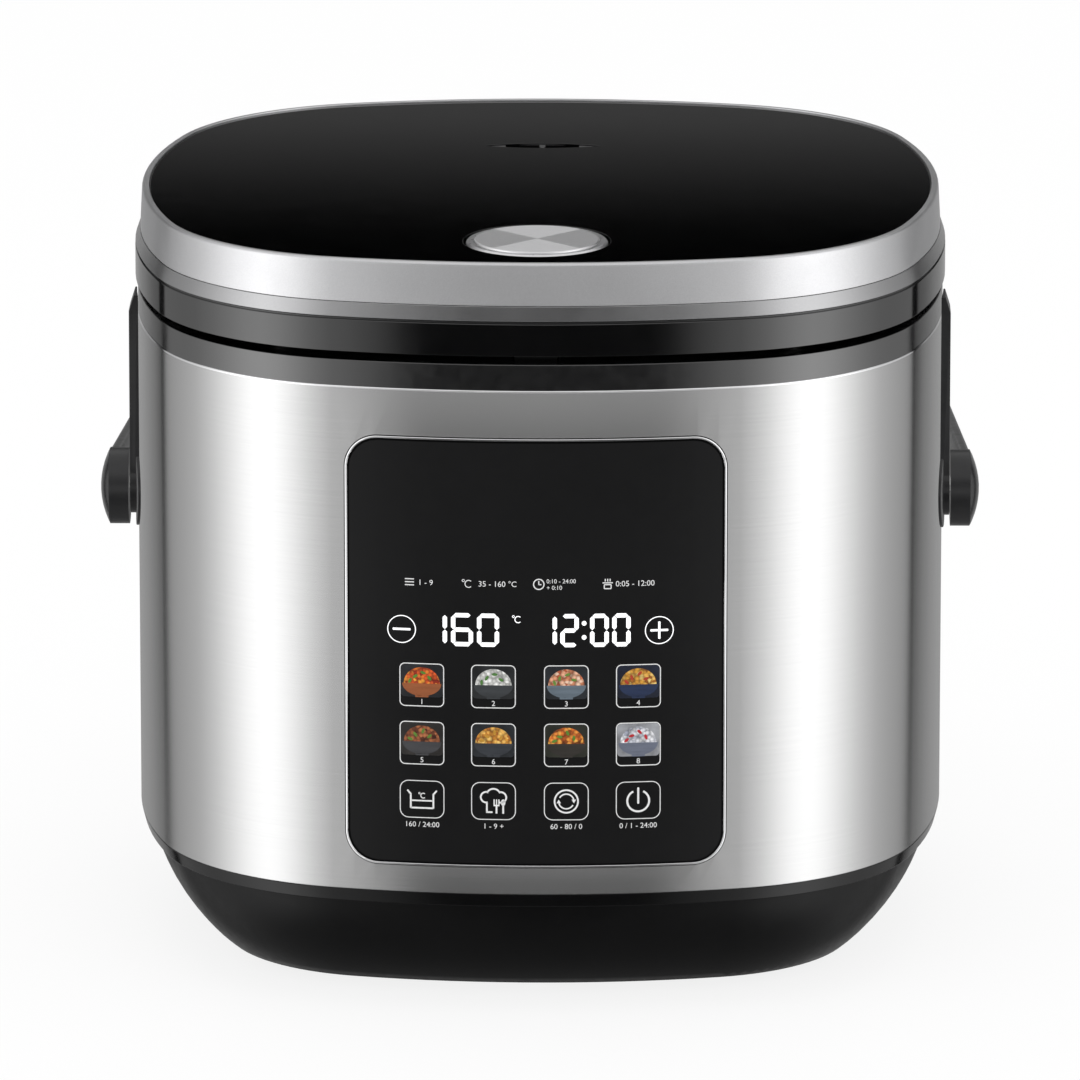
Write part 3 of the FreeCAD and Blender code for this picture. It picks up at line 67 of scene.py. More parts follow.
# Steel wrap: its wall, the rolls of its edges, the panel's window and the opening behind.
STEEL_WALL = 0.9 * MM
STEEL_DROP = 0.1 * MM
LOWER_ROLL = 0.3 * MM
UPPER_ROLL = 0.75 * MM
ROLL_STEPS = 4
# Height of the top roll that wears brighter chrome as a painted highlight line.
PAINTED_HIGHLIGHT_EDGE = 0.7 * MM
WINDOW_SLACK = 0.28 * MM
WINDOW_CORNER = 11.3 * MM
REAR_SLACK = 0.05 * MM

# Rim ring, shoulder strip, springs and vent.
RIM_INSET = 0.3 * MM
RIM_DROP = 0.7 * MM
STRIP_HEIGHT = 5.05 * MM
VENT_RAISE = 0.28 * MM
VENT_TOP = 0.7 * MM
MOUTH_NEAR = 1.0 * MM
MOUTH_FAR = 12.6 * MM
MOUTH_FRONT = 2.5 * MM
MOUTH_BACK = 2.9 * MM
MOUTH_DEPTH = 1.2 * MM
BUTTON_Y = (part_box("button_cap")[0][1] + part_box("button_cap")[1][1]) / 2

# Control panel: its face stands proud of the steel, and the graphics lie on that face.
PANEL_PROUD = 0.4 * MM
PANEL_REACH = math.radians(13.6)
PANEL_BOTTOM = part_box("panel_frame")[0][2]
INK_LIFT = 0.03 * MM
PICTURE_LIFT = 0.065 * MM
NUMBER_LIFT = 0.07 * MM
GARNISH_LIFT = 0.1 * MM
INK_THICKNESS = 0.03 * MM
EASEL_Y = -0.175


# Selection and finishing helpers.

def clear_selection():
    if bpy.context.object and bpy.context.object.mode != "OBJECT":
        bpy.ops.object.mode_set(mode="OBJECT")
    bpy.ops.object.select_all(action="DESELECT")


def pick(piece):
    clear_selection()
    piece.select_set(True)
    bpy.context.view_layer.objects.active = piece


def active():
    return bpy.context.view_layer.objects.active


def edit(piece):
    pick(piece)
    bpy.ops.object.mode_set(mode="EDIT")
    bpy.ops.mesh.select_all(action="SELECT")


def leave_edit():
    bpy.ops.object.mode_set(mode="OBJECT")


def select_where(piece, kind, test):
    """Selects the vertices, edges or faces that pass the test, and stays in edit mode."""
    pick(piece)
    bpy.ops.object.mode_set(mode="EDIT")
    bpy.ops.mesh.select_mode(type=kind)
    bpy.ops.mesh.select_all(action="DESELECT")
    leave_edit()
    mesh = piece.data
    for item in {"VERT": mesh.vertices, "EDGE": mesh.edges, "FACE": mesh.polygons}[kind]:
        item.select = test(item)
    bpy.ops.object.mode_set(mode="EDIT")


def settle(piece):
    """Puts the piece's place into its mesh."""
    pick(piece)
    bpy.ops.object.transform_apply(location=True, rotation=True, scale=True)


def apply_modifier(piece, kind, **settings):
    pick(piece)
    modifier = piece.modifiers.new(kind.lower(), kind)
    for key, value in settings.items():
        setattr(modifier, key, value)
    bpy.ops.object.modifier_apply(modifier=modifier.name)


def remove(piece):
    pick(piece)
    bpy.ops.object.delete()


def join(name, pieces):
    clear_selection()
    for piece in pieces:
        piece.select_set(True)
    bpy.context.view_layer.objects.active = pieces[0]
    if len(pieces) > 1:
        bpy.ops.object.join()
    joined = active()
    joined.name = name
    return joined


def wear_finish(piece, finish):
    piece.data.materials.clear()
    piece.data.materials.append(finish)


def smooth(piece, angle):
    pick(piece)
    bpy.ops.object.shade_smooth_by_angle(angle=angle)


def round_edges(piece, width, clamp=True, miter="MITER_SHARP"):
    apply_modifier(piece, "BEVEL", width=width, segments=3, limit_method="ANGLE", angle_limit=SHARP_ANGLE,
                   use_clamp_overlap=clamp, harden_normals=True, miter_outer=miter)


def moulded_copy(node, body, finish, round_off=0.0, clamp=True, merge=0.004 * MM, flat=0.05):
    """A merged copy of a CAD node, with its sharp edges rounded off as moulding leaves them."""
    pick(frame["nodes"][node])
    bpy.ops.object.duplicate()
    piece = active()
    for key in list(piece.keys()):
        del piece[key]
    piece.parent = None
    piece.name = node + "_finished"
    edit(piece)
    bpy.ops.mesh.customdata_custom_splitnormals_clear()
    bpy.ops.mesh.remove_doubles(threshold=merge)
    bpy.ops.mesh.dissolve_limited(angle_limit=math.radians(flat))
    bpy.ops.mesh.select_all(action="SELECT")
    bpy.ops.mesh.normals_make_consistent(inside=False)
    leave_edit()
    smooth(piece, SHARP_ANGLE)
    if round_off:
        round_edges(piece, round_off, clamp, "MITER_ARC")
    wear_finish(piece, finish)
    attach(piece, body)
    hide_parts(node)
    return piece


# Walls that are carried round the plan.

def plan_arcs():
    """Centre and turn of each arc, anticlockwise from the middle of the right side."""
    side = HALF_WIDTH - SIDE_RADIUS
    back = HALF_DEPTH - FRONT_RADIUS
    to_side = SIDE_RADIUS - CORNER_RADIUS
    to_back = FRONT_RADIUS - CORNER_RADIUS
    apart = math.hypot(side, back)
    along = (to_side ** 2 - to_back ** 2 + apart ** 2) / (2 * apart)
    off = math.sqrt(to_side ** 2 - along ** 2)
    corner_x = side - (along * side + off * back) / apart
    corner_y = (along * back - off * side) / apart
    low = math.atan2(corner_y, corner_x - side)
    high = math.atan2(corner_y - back, corner_x)
    half_turn = [
        (side, 0, low),
        (corner_x, corner_y, high - low),
        (0, back, math.pi - 2 * high),
        (-corner_x, corner_y, high - low),
        (-side, 0, low),
    ]
    other_half = [(-x, -y, turn) for x, y, turn in half_turn]
    return half_turn + other_half


def eased(corners):
    """A closed profile of (inset, height, radius) corners with each corner rounded to its radius."""
    points = []
    count = len(corners)
    for index, (x, z, radius) in enumerate(corners):
        if not radius:
            points.append((x, z))
            continue
        sides = []
        for other in (corners[index - 1], corners[(index + 1) % count]):
            dx, dz = other[0] - x, other[1] - z
            length = math.hypot(dx, dz)
            sides.append((dx / length, dz / length))
        (ax, az), (bx, bz) = sides
        half = math.acos(max(-1.0, min(1.0, ax * bx + az * bz))) / 2
        reach = radius / math.tan(half)
        depth = radius / math.sin(half)
        mx, mz = ax + bx, az + bz
        size = math.hypot(mx, mz)
        cx, cz = x + mx / size * depth, z + mz / size * depth
        start = math.atan2(z + az * reach - cz, x + ax * reach - cx)
        end = math.atan2(z + bz * reach - cz, x + bx * reach - cx)
        turn = (end - start + math.pi) % (2 * math.pi) - math.pi
        for step in range(ROLL_STEPS + 1):
            angle = start + turn * step / ROLL_STEPS
            points.append((cx + radius * math.cos(angle), cz + radius * math.sin(angle)))
    return points


def lone_point(place):
    """A single vertex to extrude and spin from, in edit mode."""
    clear_selection()
    bpy.ops.mesh.primitive_plane_add(size=0.001, location=(0, 0, 0))
    piece = active()
    edit(piece)
    bpy.ops.mesh.merge(type="CENTER")
    bpy.ops.transform.translate(value=place)
    return piece


def swept_wall(name, profile):
    """Draws a closed profile of (inset, height) on the right side and spins it round the plan."""
    inset, z = profile[0]
    piece = lone_point((HALF_WIDTH - inset, BODY_Y, z))
    piece.name = name
    for next_inset, next_z in profile[1:] + profile[:1]:
        step = (inset - next_inset, 0, next_z - z)
        bpy.ops.mesh.extrude_region_move(TRANSFORM_OT_translate={"value": step})
        inset, z = next_inset, next_z
    bpy.ops.mesh.select_all(action="SELECT")
    bpy.ops.mesh.remove_doubles(threshold=0.002 * MM)
    for x, y, turn in plan_arcs():
        steps = max(4, round(math.degrees(turn) / 1.5))
        bpy.ops.mesh.spin(steps=steps, angle=-turn, center=(x, BODY_Y + y, 0), axis=(0, 0, 1))
    bpy.ops.mesh.select_all(action="SELECT")
    bpy.ops.mesh.remove_doubles(threshold=0.005 * MM)
    bpy.ops.mesh.normals_make_consistent(inside=False)
    leave_edit()
    return piece


def cut_away(piece, cutter):
    apply_modifier(piece, "BOOLEAN", object=cutter, operation="DIFFERENCE", solver="EXACT")
    remove(cutter)


def block(low, high):
    clear_selection()
    bpy.ops.mesh.primitive_cube_add(size=1.0, location=[(a + b) / 2 for a, b in zip(low, high)])
    piece = active()
    piece.scale = [b - a for a, b in zip(low, high)]
    settle(piece)
    return piece


def panel_window():
    """A block with rounded corners, a little larger than the panel's frame."""
    low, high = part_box("panel_frame")
    window = block((low[0] - WINDOW_SLACK, low[1] - 0.01, low[2] - WINDOW_SLACK),
                   (high[0] + WINDOW_SLACK, high[1] + 0.03, high[2] + WINDOW_SLACK))

    def runs_back(edge):
        front, back = (window.data.vertices[index].co.y for index in edge.vertices)
        return abs(front - back) > 0.01

    select_where(window, "EDGE", runs_back)
    bpy.ops.mesh.bevel(offset=WINDOW_CORNER, offset_type="OFFSET", segments=14, affect="EDGES")
    bpy.ops.mesh.select_mode(type="VERT")
    leave_edit()
    return window


def steel_skin():
    """Brushed wrap with rolled edges, the panel's window and the opening behind."""
    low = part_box("steel_wrap")[0][2]
    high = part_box("steel_wrap")[1][2] - STEEL_DROP
    piece = swept_wall("steel_skin", eased([
        (STEEL_WALL, low, 0),
        (0, low, LOWER_ROLL),
        (0, high, UPPER_ROLL),
        (STEEL_WALL, high, 0),
    ]))
    cut_away(piece, panel_window())
    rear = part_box("rear_panel")
    cut_away(piece, block((rear[0][0] - REAR_SLACK, rear[0][1] - 0.02, low - 0.01),
                          (rear[1][0] + REAR_SLACK, rear[1][1] + 0.02, high + 0.01)))
    smooth(piece, SMOOTH_ANGLE)
    wear_finish(piece, FINISHES["steel_wrap"])
    # The top roll's upward faces wear brighter, glossier chrome than the steel: a painted highlight line
    # along the edge.
    piece.data.materials.append(FINISHES["bright_chrome"])
    for face in piece.data.polygons:
        if face.center.z > high - PAINTED_HIGHLIGHT_EDGE and face.normal.z > 0.1:
            face.material_index = 1
    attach(piece, "body")
    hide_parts("steel_wrap")


# Finishes.

class Wiring:
    """Nodes of one material or world, joined step by step."""

    def __init__(self, tree):
        self.nodes = tree.nodes
        self.links = tree.links

    def feed(self, socket, value):
        if isinstance(value, bpy.types.NodeSocket):
            self.links.new(value, socket)
        else:
            socket.default_value = value

    def sum(self, operation, first, second=0.0):
        node = self.nodes.new("ShaderNodeMath")
        node.operation = operation
        self.feed(node.inputs[0], first)
        self.feed(node.inputs[1], second)
        return node.outputs[0]

    def blend(self, share, first, second):
        node = self.nodes.new("ShaderNodeMixRGB")
        for socket, value in zip(node.inputs, (share, first, second)):
            self.feed(socket, (*value, 1.0) if isinstance(value, tuple) else value)
        return node.outputs[0]

    def vector(self, operation, first, second=None, output="Vector"):
        node = self.nodes.new("ShaderNodeVectorMath")
        node.operation = operation
        self.links.new(first, node.inputs[0])
        if second is not None:
            node.inputs[1].default_value = second
        return node.outputs[output]

    def axes(self, vector):
        node = self.nodes.new("ShaderNodeSeparateXYZ")
        self.links.new(vector, node.inputs[0])
        return node.outputs

    def surface(self, share, first, second, output):
        """Shows a share of the second shader over the first."""
        node = self.nodes.new("ShaderNodeMixShader")
        self.links.new(share, node.inputs["Fac"])
        self.links.new(first.outputs[0], node.inputs[1])
        self.links.new(second.outputs[0], node.inputs[2])
        self.links.new(node.outputs[0], self.nodes[output].inputs["Surface"])

    def span(self, value, low, high, start=0.3, end=0.7):
        node = self.nodes.new("ShaderNodeMapRange")
        node.inputs["From Min"].default_value = start
        node.inputs["From Max"].default_value = end
        node.inputs["To Min"].default_value = low
        node.inputs["To Max"].default_value = high
        self.links.new(value, node.inputs["Value"])
        return node.outputs["Result"]

    def ramp(self, value, stops):
        node = self.nodes.new("ShaderNodeValToRGB")
        band = node.color_ramp
        while len(band.elements) < len(stops):
            band.elements.new(0.5)
        for element, (position, colour) in zip(band.elements, stops):
            element.position = position
            element.color = (*colour, 1.0)
        self.links.new(value, node.inputs["Fac"])
        return node.outputs["Color"]


class Finish(Wiring):
    """One procedural material that is built up in layers on the piece's Object coordinates."""

    def __init__(self, name, colour, rough, metal=0.0, specular=0.5, ior=1.5):
        self.material = bpy.data.materials.new(name)
        self.material.use_nodes = True
        super().__init__(self.material.node_tree)
        self.shader = self.nodes["Principled BSDF"]
        self.shader.inputs["Base Color"].default_value = (*colour, 1.0)
        self.shader.inputs["Metallic"].default_value = metal
        self.shader.inputs["Roughness"].default_value = rough
        self.shader.inputs["Specular IOR Level"].default_value = specular
        self.shader.inputs["IOR"].default_value = ior
        self.place = self.nodes.new("ShaderNodeTexCoord").outputs["Object"]

    def mapped(self, scale=(1, 1, 1)):
        node = self.nodes.new("ShaderNodeMapping")
        node.vector_type = "TEXTURE"
        node.inputs["Scale"].default_value = [1 / s for s in scale]
        self.links.new(self.place, node.inputs["Vector"])
        return node.outputs["Vector"]

    def noise(self, scale, detail=3.0, stretch=(1, 1, 1), rough=0.55):
        node = self.nodes.new("ShaderNodeTexNoise")
        node.inputs["Scale"].default_value = scale
        node.inputs["Detail"].default_value = detail
        node.inputs["Roughness"].default_value = rough
        self.links.new(self.mapped(stretch), node.inputs["Vector"])
        return node.outputs["Fac"]

    def cells(self, scale, feature="F1", output="Distance"):
        node = self.nodes.new("ShaderNodeTexVoronoi")
        node.feature = feature
        node.inputs["Scale"].default_value = scale
        self.links.new(self.mapped(), node.inputs["Vector"])
        return node.outputs[output]

    def colour(self, socket):
        self.links.new(socket, self.shader.inputs["Base Color"])
        return self

    def roughness(self, socket):
        self.links.new(socket, self.shader.inputs["Roughness"])
        return self

    def relief(self, socket, depth, strength):
        node = self.nodes.new("ShaderNodeBump")
        node.inputs["Strength"].default_value = strength
        node.inputs["Distance"].default_value = depth
        self.links.new(socket, node.inputs["Height"])
        previous = self.shader.inputs["Normal"]
        if previous.is_linked:
            self.links.new(previous.links[0].from_socket, node.inputs["Normal"])
        self.links.new(node.outputs["Normal"], previous)
        return self

    def mottle(self, scale, dark, light, detail=3.0, stretch=(1, 1, 1)):
        noise = self.noise(scale, detail, stretch)
        return self.colour(self.ramp(noise, [(0.3, dark), (0.7, light)]))

    def brushed(self, amount, tangent):
        """Spreads the reflection across the brushing lines, which run along the tangent."""
        self.shader.inputs["Anisotropic"].default_value = amount
        self.shader.inputs["Anisotropic Rotation"].default_value = 0.25
        self.links.new(tangent, self.shader.inputs["Tangent"])
        return self

    def level_tangent(self):
        """Runs level round a standing wall."""
        normal = self.nodes.new("ShaderNodeNewGeometry").outputs["Normal"]
        return self.vector("CROSS_PRODUCT", normal, (0, 0, 1))

    def sector_tangent(self, centre):
        """Runs across in the front and back quarters of a disc, and aslant in its side quarters."""
        split = self.axes(self.place)
        aside = self.sum("ABSOLUTE", self.sum("SUBTRACT", split["X"], centre[0]))
        deep = self.sum("ABSOLUTE", self.sum("SUBTRACT", split["Y"], centre[1]))
        return self.blend(self.sum("GREATER_THAN", aside, deep), (1.0, 0.0, 0.0), (0.6, 0.8, 0.0))

    def ring_distance(self, centre):
        """Distance from an upright axis."""
        flat = self.vector("MULTIPLY", self.vector("SUBTRACT", self.place, centre), (1, 1, 0))
        return self.vector("LENGTH", flat, output="Value")


def grey(level, blue=0.0):
    """A neutral tone, with its blue a little raised or lowered."""
    return (level, level, round(level + blue, 5))


def layered(name, colour, rough, patches, grain=None, relief=None, pebbles=None, **shader):
    """A finish in layers, each with its scale first.

    patches: scale, dark and light tone, and perhaps detail
    grain: scale, detail, least and most roughness
    relief: scale, detail, depth, strength
    pebbles: scale, depth, strength
    """
    finish = Finish(name, colour, rough, **shader)
    finish.mottle(*patches)
    if grain:
        scale, detail, least, most = grain
        finish.roughness(finish.span(finish.noise(scale, detail), least, most))
    if relief:
        scale, detail, depth, strength = relief
        finish.relief(finish.noise(scale, detail), depth, strength)
    if pebbles:
        scale, depth, strength = pebbles
        finish.relief(finish.cells(scale), depth, strength)
    return finish.material


def brushed_steel():
    finish = Finish("brushed_steel", grey(0.60), 0.25, metal=1.0)
    lines = finish.noise(1.0, 5.0, (9.0, 9.0, 5200.0), 0.75)
    finish.colour(finish.ramp(lines, [(0.25, grey(0.57)), (0.75, grey(0.63, -0.002))]))
    finish.roughness(finish.span(lines, 0.24, 0.27))
    finish.relief(lines, 0.000004, 0.2)
    return finish.brushed(1.0, finish.level_tangent()).material


def flaked(name, colour, rough, dark, light, grain, relief):
    """Metallic paint, with fine flakes of two tones."""
    finish = Finish(name, colour, rough, metal=1.0)
    flakes = finish.cells(9000.0, output="Color")
    finish.colour(finish.ramp(flakes, [(0.2, dark), (0.8, light)]))
    scale, least, most = grain
    finish.roughness(finish.span(finish.noise(scale), least, most))
    depth, strength = relief
    return finish.relief(finish.noise(2600.0), depth, strength).material


def spun_metal():
    axis = (0, BUTTON_Y, 0)
    finish = Finish("spun_metal", grey(0.85, 0.01), 0.36, metal=1.0)
    rings = finish.nodes.new("ShaderNodeTexNoise")
    rings.noise_dimensions = "1D"
    rings.inputs["Scale"].default_value = 5200.0
    rings.inputs["Detail"].default_value = 3.0
    finish.links.new(finish.ring_distance(axis), rings.inputs["W"])
    groove = rings.outputs["Fac"]
    finish.colour(finish.ramp(groove, [(0.3, grey(0.80, 0.01)), (0.7, grey(0.90, 0.01))]))
    finish.roughness(finish.span(groove, 0.31, 0.37))
    finish.relief(groove, 0.00001, 0.5)
    return finish.brushed(0.9, finish.sector_tangent(axis)).material


def bowl_coating():
    finish = Finish("bowl_coating", grey(0.05, 0.002), 0.38)
    specks = finish.cells(1500.0)
    finish.colour(finish.ramp(specks, [(0.04, grey(0.16, 0.005)), (0.16, grey(0.045, 0.002))]))
    finish.roughness(finish.span(finish.noise(300.0, 4.0), 0.33, 0.45))
    return finish.relief(finish.noise(1900.0, 3.0), 0.00003, 0.5).material


def jacket_metal():
    finish = Finish("jacket_metal", grey(0.55, -0.01), 0.34, metal=1.0)
    lines = finish.noise(1.0, 3.0, (20.0, 20.0, 1600.0))
    finish.colour(finish.ramp(lines, [(0.3, grey(0.48, -0.005)), (0.7, grey(0.60, -0.01))]))
    finish.roughness(finish.span(finish.noise(90.0), 0.28, 0.42))
    return finish.relief(lines, 0.00002, 0.5).material


def board_green():
    finish = Finish("board_green", (0.02, 0.11, 0.05), 0.38)
    tracks = finish.cells(260.0, "DISTANCE_TO_EDGE")
    finish.colour(finish.ramp(tracks, [(0.04, (0.04, 0.19, 0.09)), (0.07, (0.015, 0.085, 0.04))]))
    return finish.relief(tracks, 0.00006, 0.4).material


def pin_metal():
    finish = Finish("pin_metal", (0.72, 0.68, 0.58), 0.25, metal=1.0)
    finish.mottle(500.0, (0.66, 0.62, 0.52), (0.76, 0.72, 0.63))
    finish.roughness(finish.span(finish.noise(900.0), 0.2, 0.34))
    return finish.relief(finish.noise(1.0, 3.0, (300.0, 300.0, 4000.0)), 0.00001, 0.4).material


def seal_silicone():
    finish = Finish("seal_silicone", (0.30, 0.31, 0.31), 0.5, specular=0.4)
    finish.shader.inputs["Subsurface Weight"].default_value = 0.25
    finish.shader.inputs["Subsurface Radius"].default_value = (0.002, 0.002, 0.002)
    finish.mottle(120.0, (0.27, 0.28, 0.28), (0.34, 0.35, 0.35))
    finish.roughness(finish.span(finish.noise(500.0, 3.0), 0.44, 0.58))
    return finish.relief(finish.noise(1800.0), 0.00003, 0.4).material


def clear_cup():
    finish = Finish("clear_cup", (0.62, 0.65, 0.68), 0.12, ior=1.49)
    finish.shader.inputs["Transmission Weight"].default_value = 0.85
    finish.roughness(finish.span(finish.noise(220.0, 4.0), 0.08, 0.2))
    return finish.relief(finish.noise(40.0), 0.00006, 0.3).material


def lit_segment():
    finish = Finish("lit_segment", grey(0.85), 0.35)
    glow = finish.ramp(finish.noise(420.0), [(0.2, (0.80, 0.82, 0.85)), (0.8, (0.90, 0.91, 0.93))])
    finish.links.new(glow, finish.shader.inputs["Emission Color"])
    finish.shader.inputs["Emission Strength"].default_value = 0.7
    return finish.mottle(700.0, grey(0.80), grey(0.88)).material


def picture_backdrop(name, tone):
    dark = tuple(0.4 * c for c in tone)
    return layered(name, tone, 0.3, (160.0, dark, tone, 4.0), relief=(1500.0, 3.0, 0.000006, 0.3))


def picture_bowl(name, tone):
    dark = tuple(0.72 * c for c in tone)
    return layered(name, tone, 0.3, (1.0, dark, tone, 2.0, (90.0, 90.0, 700.0)),
                   relief=(1500.0, 3.0, 0.000006, 0.3))


def picture_food(name, colours):
    finish = Finish(name, colours[0], 0.3)
    lumps = finish.cells(820.0, output="Color")
    steps = len(colours) - 1
    stops = [(0.15 + 0.7 * i / steps, colour) for i, colour in enumerate(colours)]
    shade = finish.ramp(lumps, stops)
    edges = finish.span(finish.cells(820.0), 1.1, 0.4, 0.15, 0.8)
    mix = finish.nodes.new("ShaderNodeVectorMath")
    mix.operation = "SCALE"
    finish.links.new(shade, mix.inputs[0])
    finish.links.new(edges, mix.inputs["Scale"])
    finish.colour(mix.outputs["Vector"])
    return finish.relief(finish.cells(820.0), 0.00001, 0.4).material


# One finish for each slot of the record.
FINISHES = {
    "housing_black": layered(
        "housing_black", grey(0.014, 0.001), 0.34, (55.0, grey(0.012, 0.001), grey(0.017, 0.001)),
        grain=(320.0, 4.0, 0.3, 0.38), pebbles=(2400.0, 0.00003, 0.35)),
    "trim_black": layered(
        "trim_black", grey(0.0013, 0.0002), 0.09, (40.0, grey(0.001, 0.0002), grey(0.0016, 0.0002)),
        grain=(220.0, 4.0, 0.07, 0.11), relief=(30.0, 2.0, 0.00003, 0.2), ior=1.9),
    "rubber": layered(
        "foot_rubber", grey(0.022), 0.8, (300.0, grey(0.017), grey(0.03, -0.001)),
        relief=(1500.0, 4.0, 0.00008, 0.6), specular=0.3),
    "screw_steel": layered(
        "screw_steel", grey(0.58, -0.01), 0.33, (700.0, grey(0.50, -0.01), grey(0.64, -0.01)),
        grain=(1200.0, 3.0, 0.26, 0.42), relief=(2500.0, 3.0, 0.00002, 0.4), metal=1.0),
    "steel_wrap": brushed_steel(),
    "bowl_coating": bowl_coating(),
    "jacket_metal": jacket_metal(),
    "heater_cast": layered(
        "heater_cast", grey(0.50, -0.01), 0.45, (160.0, grey(0.42, -0.01), grey(0.56, -0.01), 5.0),
        grain=(420.0, 4.0, 0.38, 0.55), relief=(900.0, 4.0, 0.00008, 0.6), metal=1.0),
    "panel_gloss": layered(
        "panel_gloss", grey(0.0102, 0.0003), 0.2, (22.0, grey(0.0097, 0.0003), grey(0.0107, 0.0003)),
        grain=(180.0, 4.0, 0.18, 0.23), relief=(12.0, 2.0, 0.0001, 0.2), specular=0.15),
    "bright_chrome": layered(
        "bright_chrome", grey(0.92, 0.01), 0.1, (80.0, grey(0.90, 0.01), grey(0.94, 0.01)),
        grain=(400.0, 4.0, 0.08, 0.13), relief=(30.0, 3.0, 0.00004, 0.2), metal=1.0),
    "board_green": board_green(),
    "component_dark": layered(
        "component_dark", grey(0.02, 0.002), 0.5, (400.0, grey(0.015, 0.001), grey(0.03, 0.002)),
        relief=(2400.0, 2.0, 0.00002, 0.5)),
    "pin_metal": pin_metal(),
    "silver_paint": flaked(
        "silver_paint", grey(0.63, 0.01), 0.36, grey(0.58, 0.01), grey(0.68, 0.01),
        grain=(60.0, 0.34, 0.40), relief=(0.000006, 0.5)),
    "plate_gloss": layered(
        "gloss_plate", grey(0.001, 0.0001), 0.05, (35.0, grey(0.0008, 0.0001), grey(0.0012, 0.0001)),
        grain=(140.0, 5.0, 0.035, 0.06), relief=(9.0, 2.0, 0.00005, 0.2)),
    "spun_metal": spun_metal(),
    "spring_steel": layered(
        "spring_steel", (0.50, 0.49, 0.47), 0.3, (900.0, (0.42, 0.41, 0.40), (0.56, 0.55, 0.53)),
        grain=(1500.0, 3.0, 0.24, 0.4), relief=(4000.0, 3.0, 0.00001, 0.4), metal=1.0),
    "seal_silicone": seal_silicone(),
    "clear_cup": clear_cup(),
}

# Finishes of pieces that look unlike the rest of their slot.
TRIM_BAND = layered(
    "trim_band", grey(0.0016, 0.0002), 0.14, (40.0, grey(0.0013, 0.0002), grey(0.002, 0.0002)),
    grain=(220.0, 4.0, 0.11, 0.17), relief=(30.0, 2.0, 0.00003, 0.2), specular=0.34)
RIM_SATIN = layered(
    "rim_satin", grey(0.0036, 0.0003), 0.16, (40.0, grey(0.003, 0.0003), grey(0.0042, 0.0003)),
    grain=(260.0, 4.0, 0.14, 0.19), relief=(1400.0, 2.0, 0.000004, 0.4), ior=2.15)
CAP_GLOSS = layered(
    "cap_gloss", grey(0.012, 0.001), 0.18, (55.0, grey(0.010, 0.001), grey(0.014, 0.001)),
    grain=(320.0, 4.0, 0.16, 0.21), relief=(1400.0, 2.0, 0.000004, 0.4))
GRAPHITE = flaked(
    "graphite_strip", grey(0.38, 0.005), 0.26, grey(0.36, 0.005), grey(0.40, 0.005),
    grain=(80.0, 0.22, 0.27), relief=(0.000004, 0.4))
BASE_SATIN = layered(
    "base_satin", grey(0.0022, 0.0002), 0.34, (55.0, grey(0.0018, 0.0002), grey(0.0026, 0.0002)),
    grain=(320.0, 4.0, 0.31, 0.38), pebbles=(2400.0, 0.00002, 0.3), specular=0.18)
SATIN_RING = layered(
    "satin_ring", grey(0.74, 0.01), 0.3, (300.0, grey(0.70, 0.01), grey(0.78, 0.01)),
    grain=(700.0, 3.0, 0.27, 0.33), relief=(2600.0, 3.0, 0.000005, 0.4), metal=1.0)
VENT_SATIN = layered(
    "vent_satin", grey(0.05, 0.001), 0.4, (400.0, grey(0.045, 0.001), grey(0.056, 0.001)),
    grain=(700.0, 3.0, 0.36, 0.44), relief=(2600.0, 3.0, 0.00001, 0.4))
INK = layered(
    "white_ink", grey(0.80), 0.35, (900.0, grey(0.76), grey(0.84)), relief=(3000.0, 3.0, 0.000006, 0.4))
# Near-black finish for painted shade: the gap line round the panel and the insides of the vent's mouths.
PAINTED_SHADE_BLACK = layered(
    "painted_shade_black", grey(0.0006, 0.0001), 0.6, (300.0, grey(0.0004, 0.0001), grey(0.0008, 0.0001)),
    relief=(3000.0, 3.0, 0.000006, 0.4), specular=0.05)
GLOW = lit_segment()


# Flat graphics in mm, drawn on an easel in front of the object and then laid back onto a curved wall.

DRAWN_BOTTOM = 50.7
PANEL_CORNER = 10.2
# Width of the painted gap shadow inside the panel's frame.
GAP_SHADOW_LINE = 0.55
CAPITAL_SHARE = 0.69
STRIP = 2
STRIP_REACH = 62


def panel_z(height):
    """Heights of the graphics are written from the table up, with the panel's lower edge at DRAWN_BOTTOM."""
    return PANEL_BOTTOM / MM + height - DRAWN_BOTTOM


def tile(width, height, x, z, corner=0.0, turn=0.0):
    clear_selection()
    bpy.ops.mesh.primitive_plane_add(size=1.0, location=(0, 0, 0))
    piece = active()
    piece.scale = (width * MM, height * MM, 1)
    settle(piece)
    if corner:
        edit(piece)
        bpy.ops.mesh.bevel(offset=corner * MM, offset_type="OFFSET", segments=6, affect="VERTICES")
        bpy.ops.mesh.select_all(action="SELECT")
        bpy.ops.mesh.remove_doubles(threshold=0.002 * MM)
        leave_edit()
    piece.rotation_euler = (STANDING, 0, 0)
    settle(piece)
    piece.rotation_euler = (0, -turn, 0)
    piece.location = (x * MM, EASEL_Y, z * MM)
    settle(piece)
    return piece


def hollow(piece, line):
    edit(piece)
    bpy.ops.mesh.inset(thickness=line * MM, depth=0)
    bpy.ops.mesh.delete(type="FACE")
    leave_edit()
    return piece


def disc(radius, x, z, points, squash=1.0, turn=0.0):
    clear_selection()
    bpy.ops.mesh.primitive_circle_add(vertices=points, radius=radius * MM, fill_type="NGON",
                                      location=(0, 0, 0), rotation=(STANDING, 0, 0))
    piece = active()
    settle(piece)
    piece.scale = (1, 1, squash)
    piece.rotation_euler = (0, -turn, 0)
    piece.location = (x * MM, EASEL_Y, z * MM)
    settle(piece)
    return piece


def slice_off(piece, z, side):
    """Cuts a piece at a level and takes away what lies above it (side 1) or below it (side -1)."""
    edit(piece)
    bpy.ops.mesh.bisect(plane_co=(0, 0, z * MM), plane_no=(0, 0, side), clear_outer=True)
    leave_edit()
    return piece


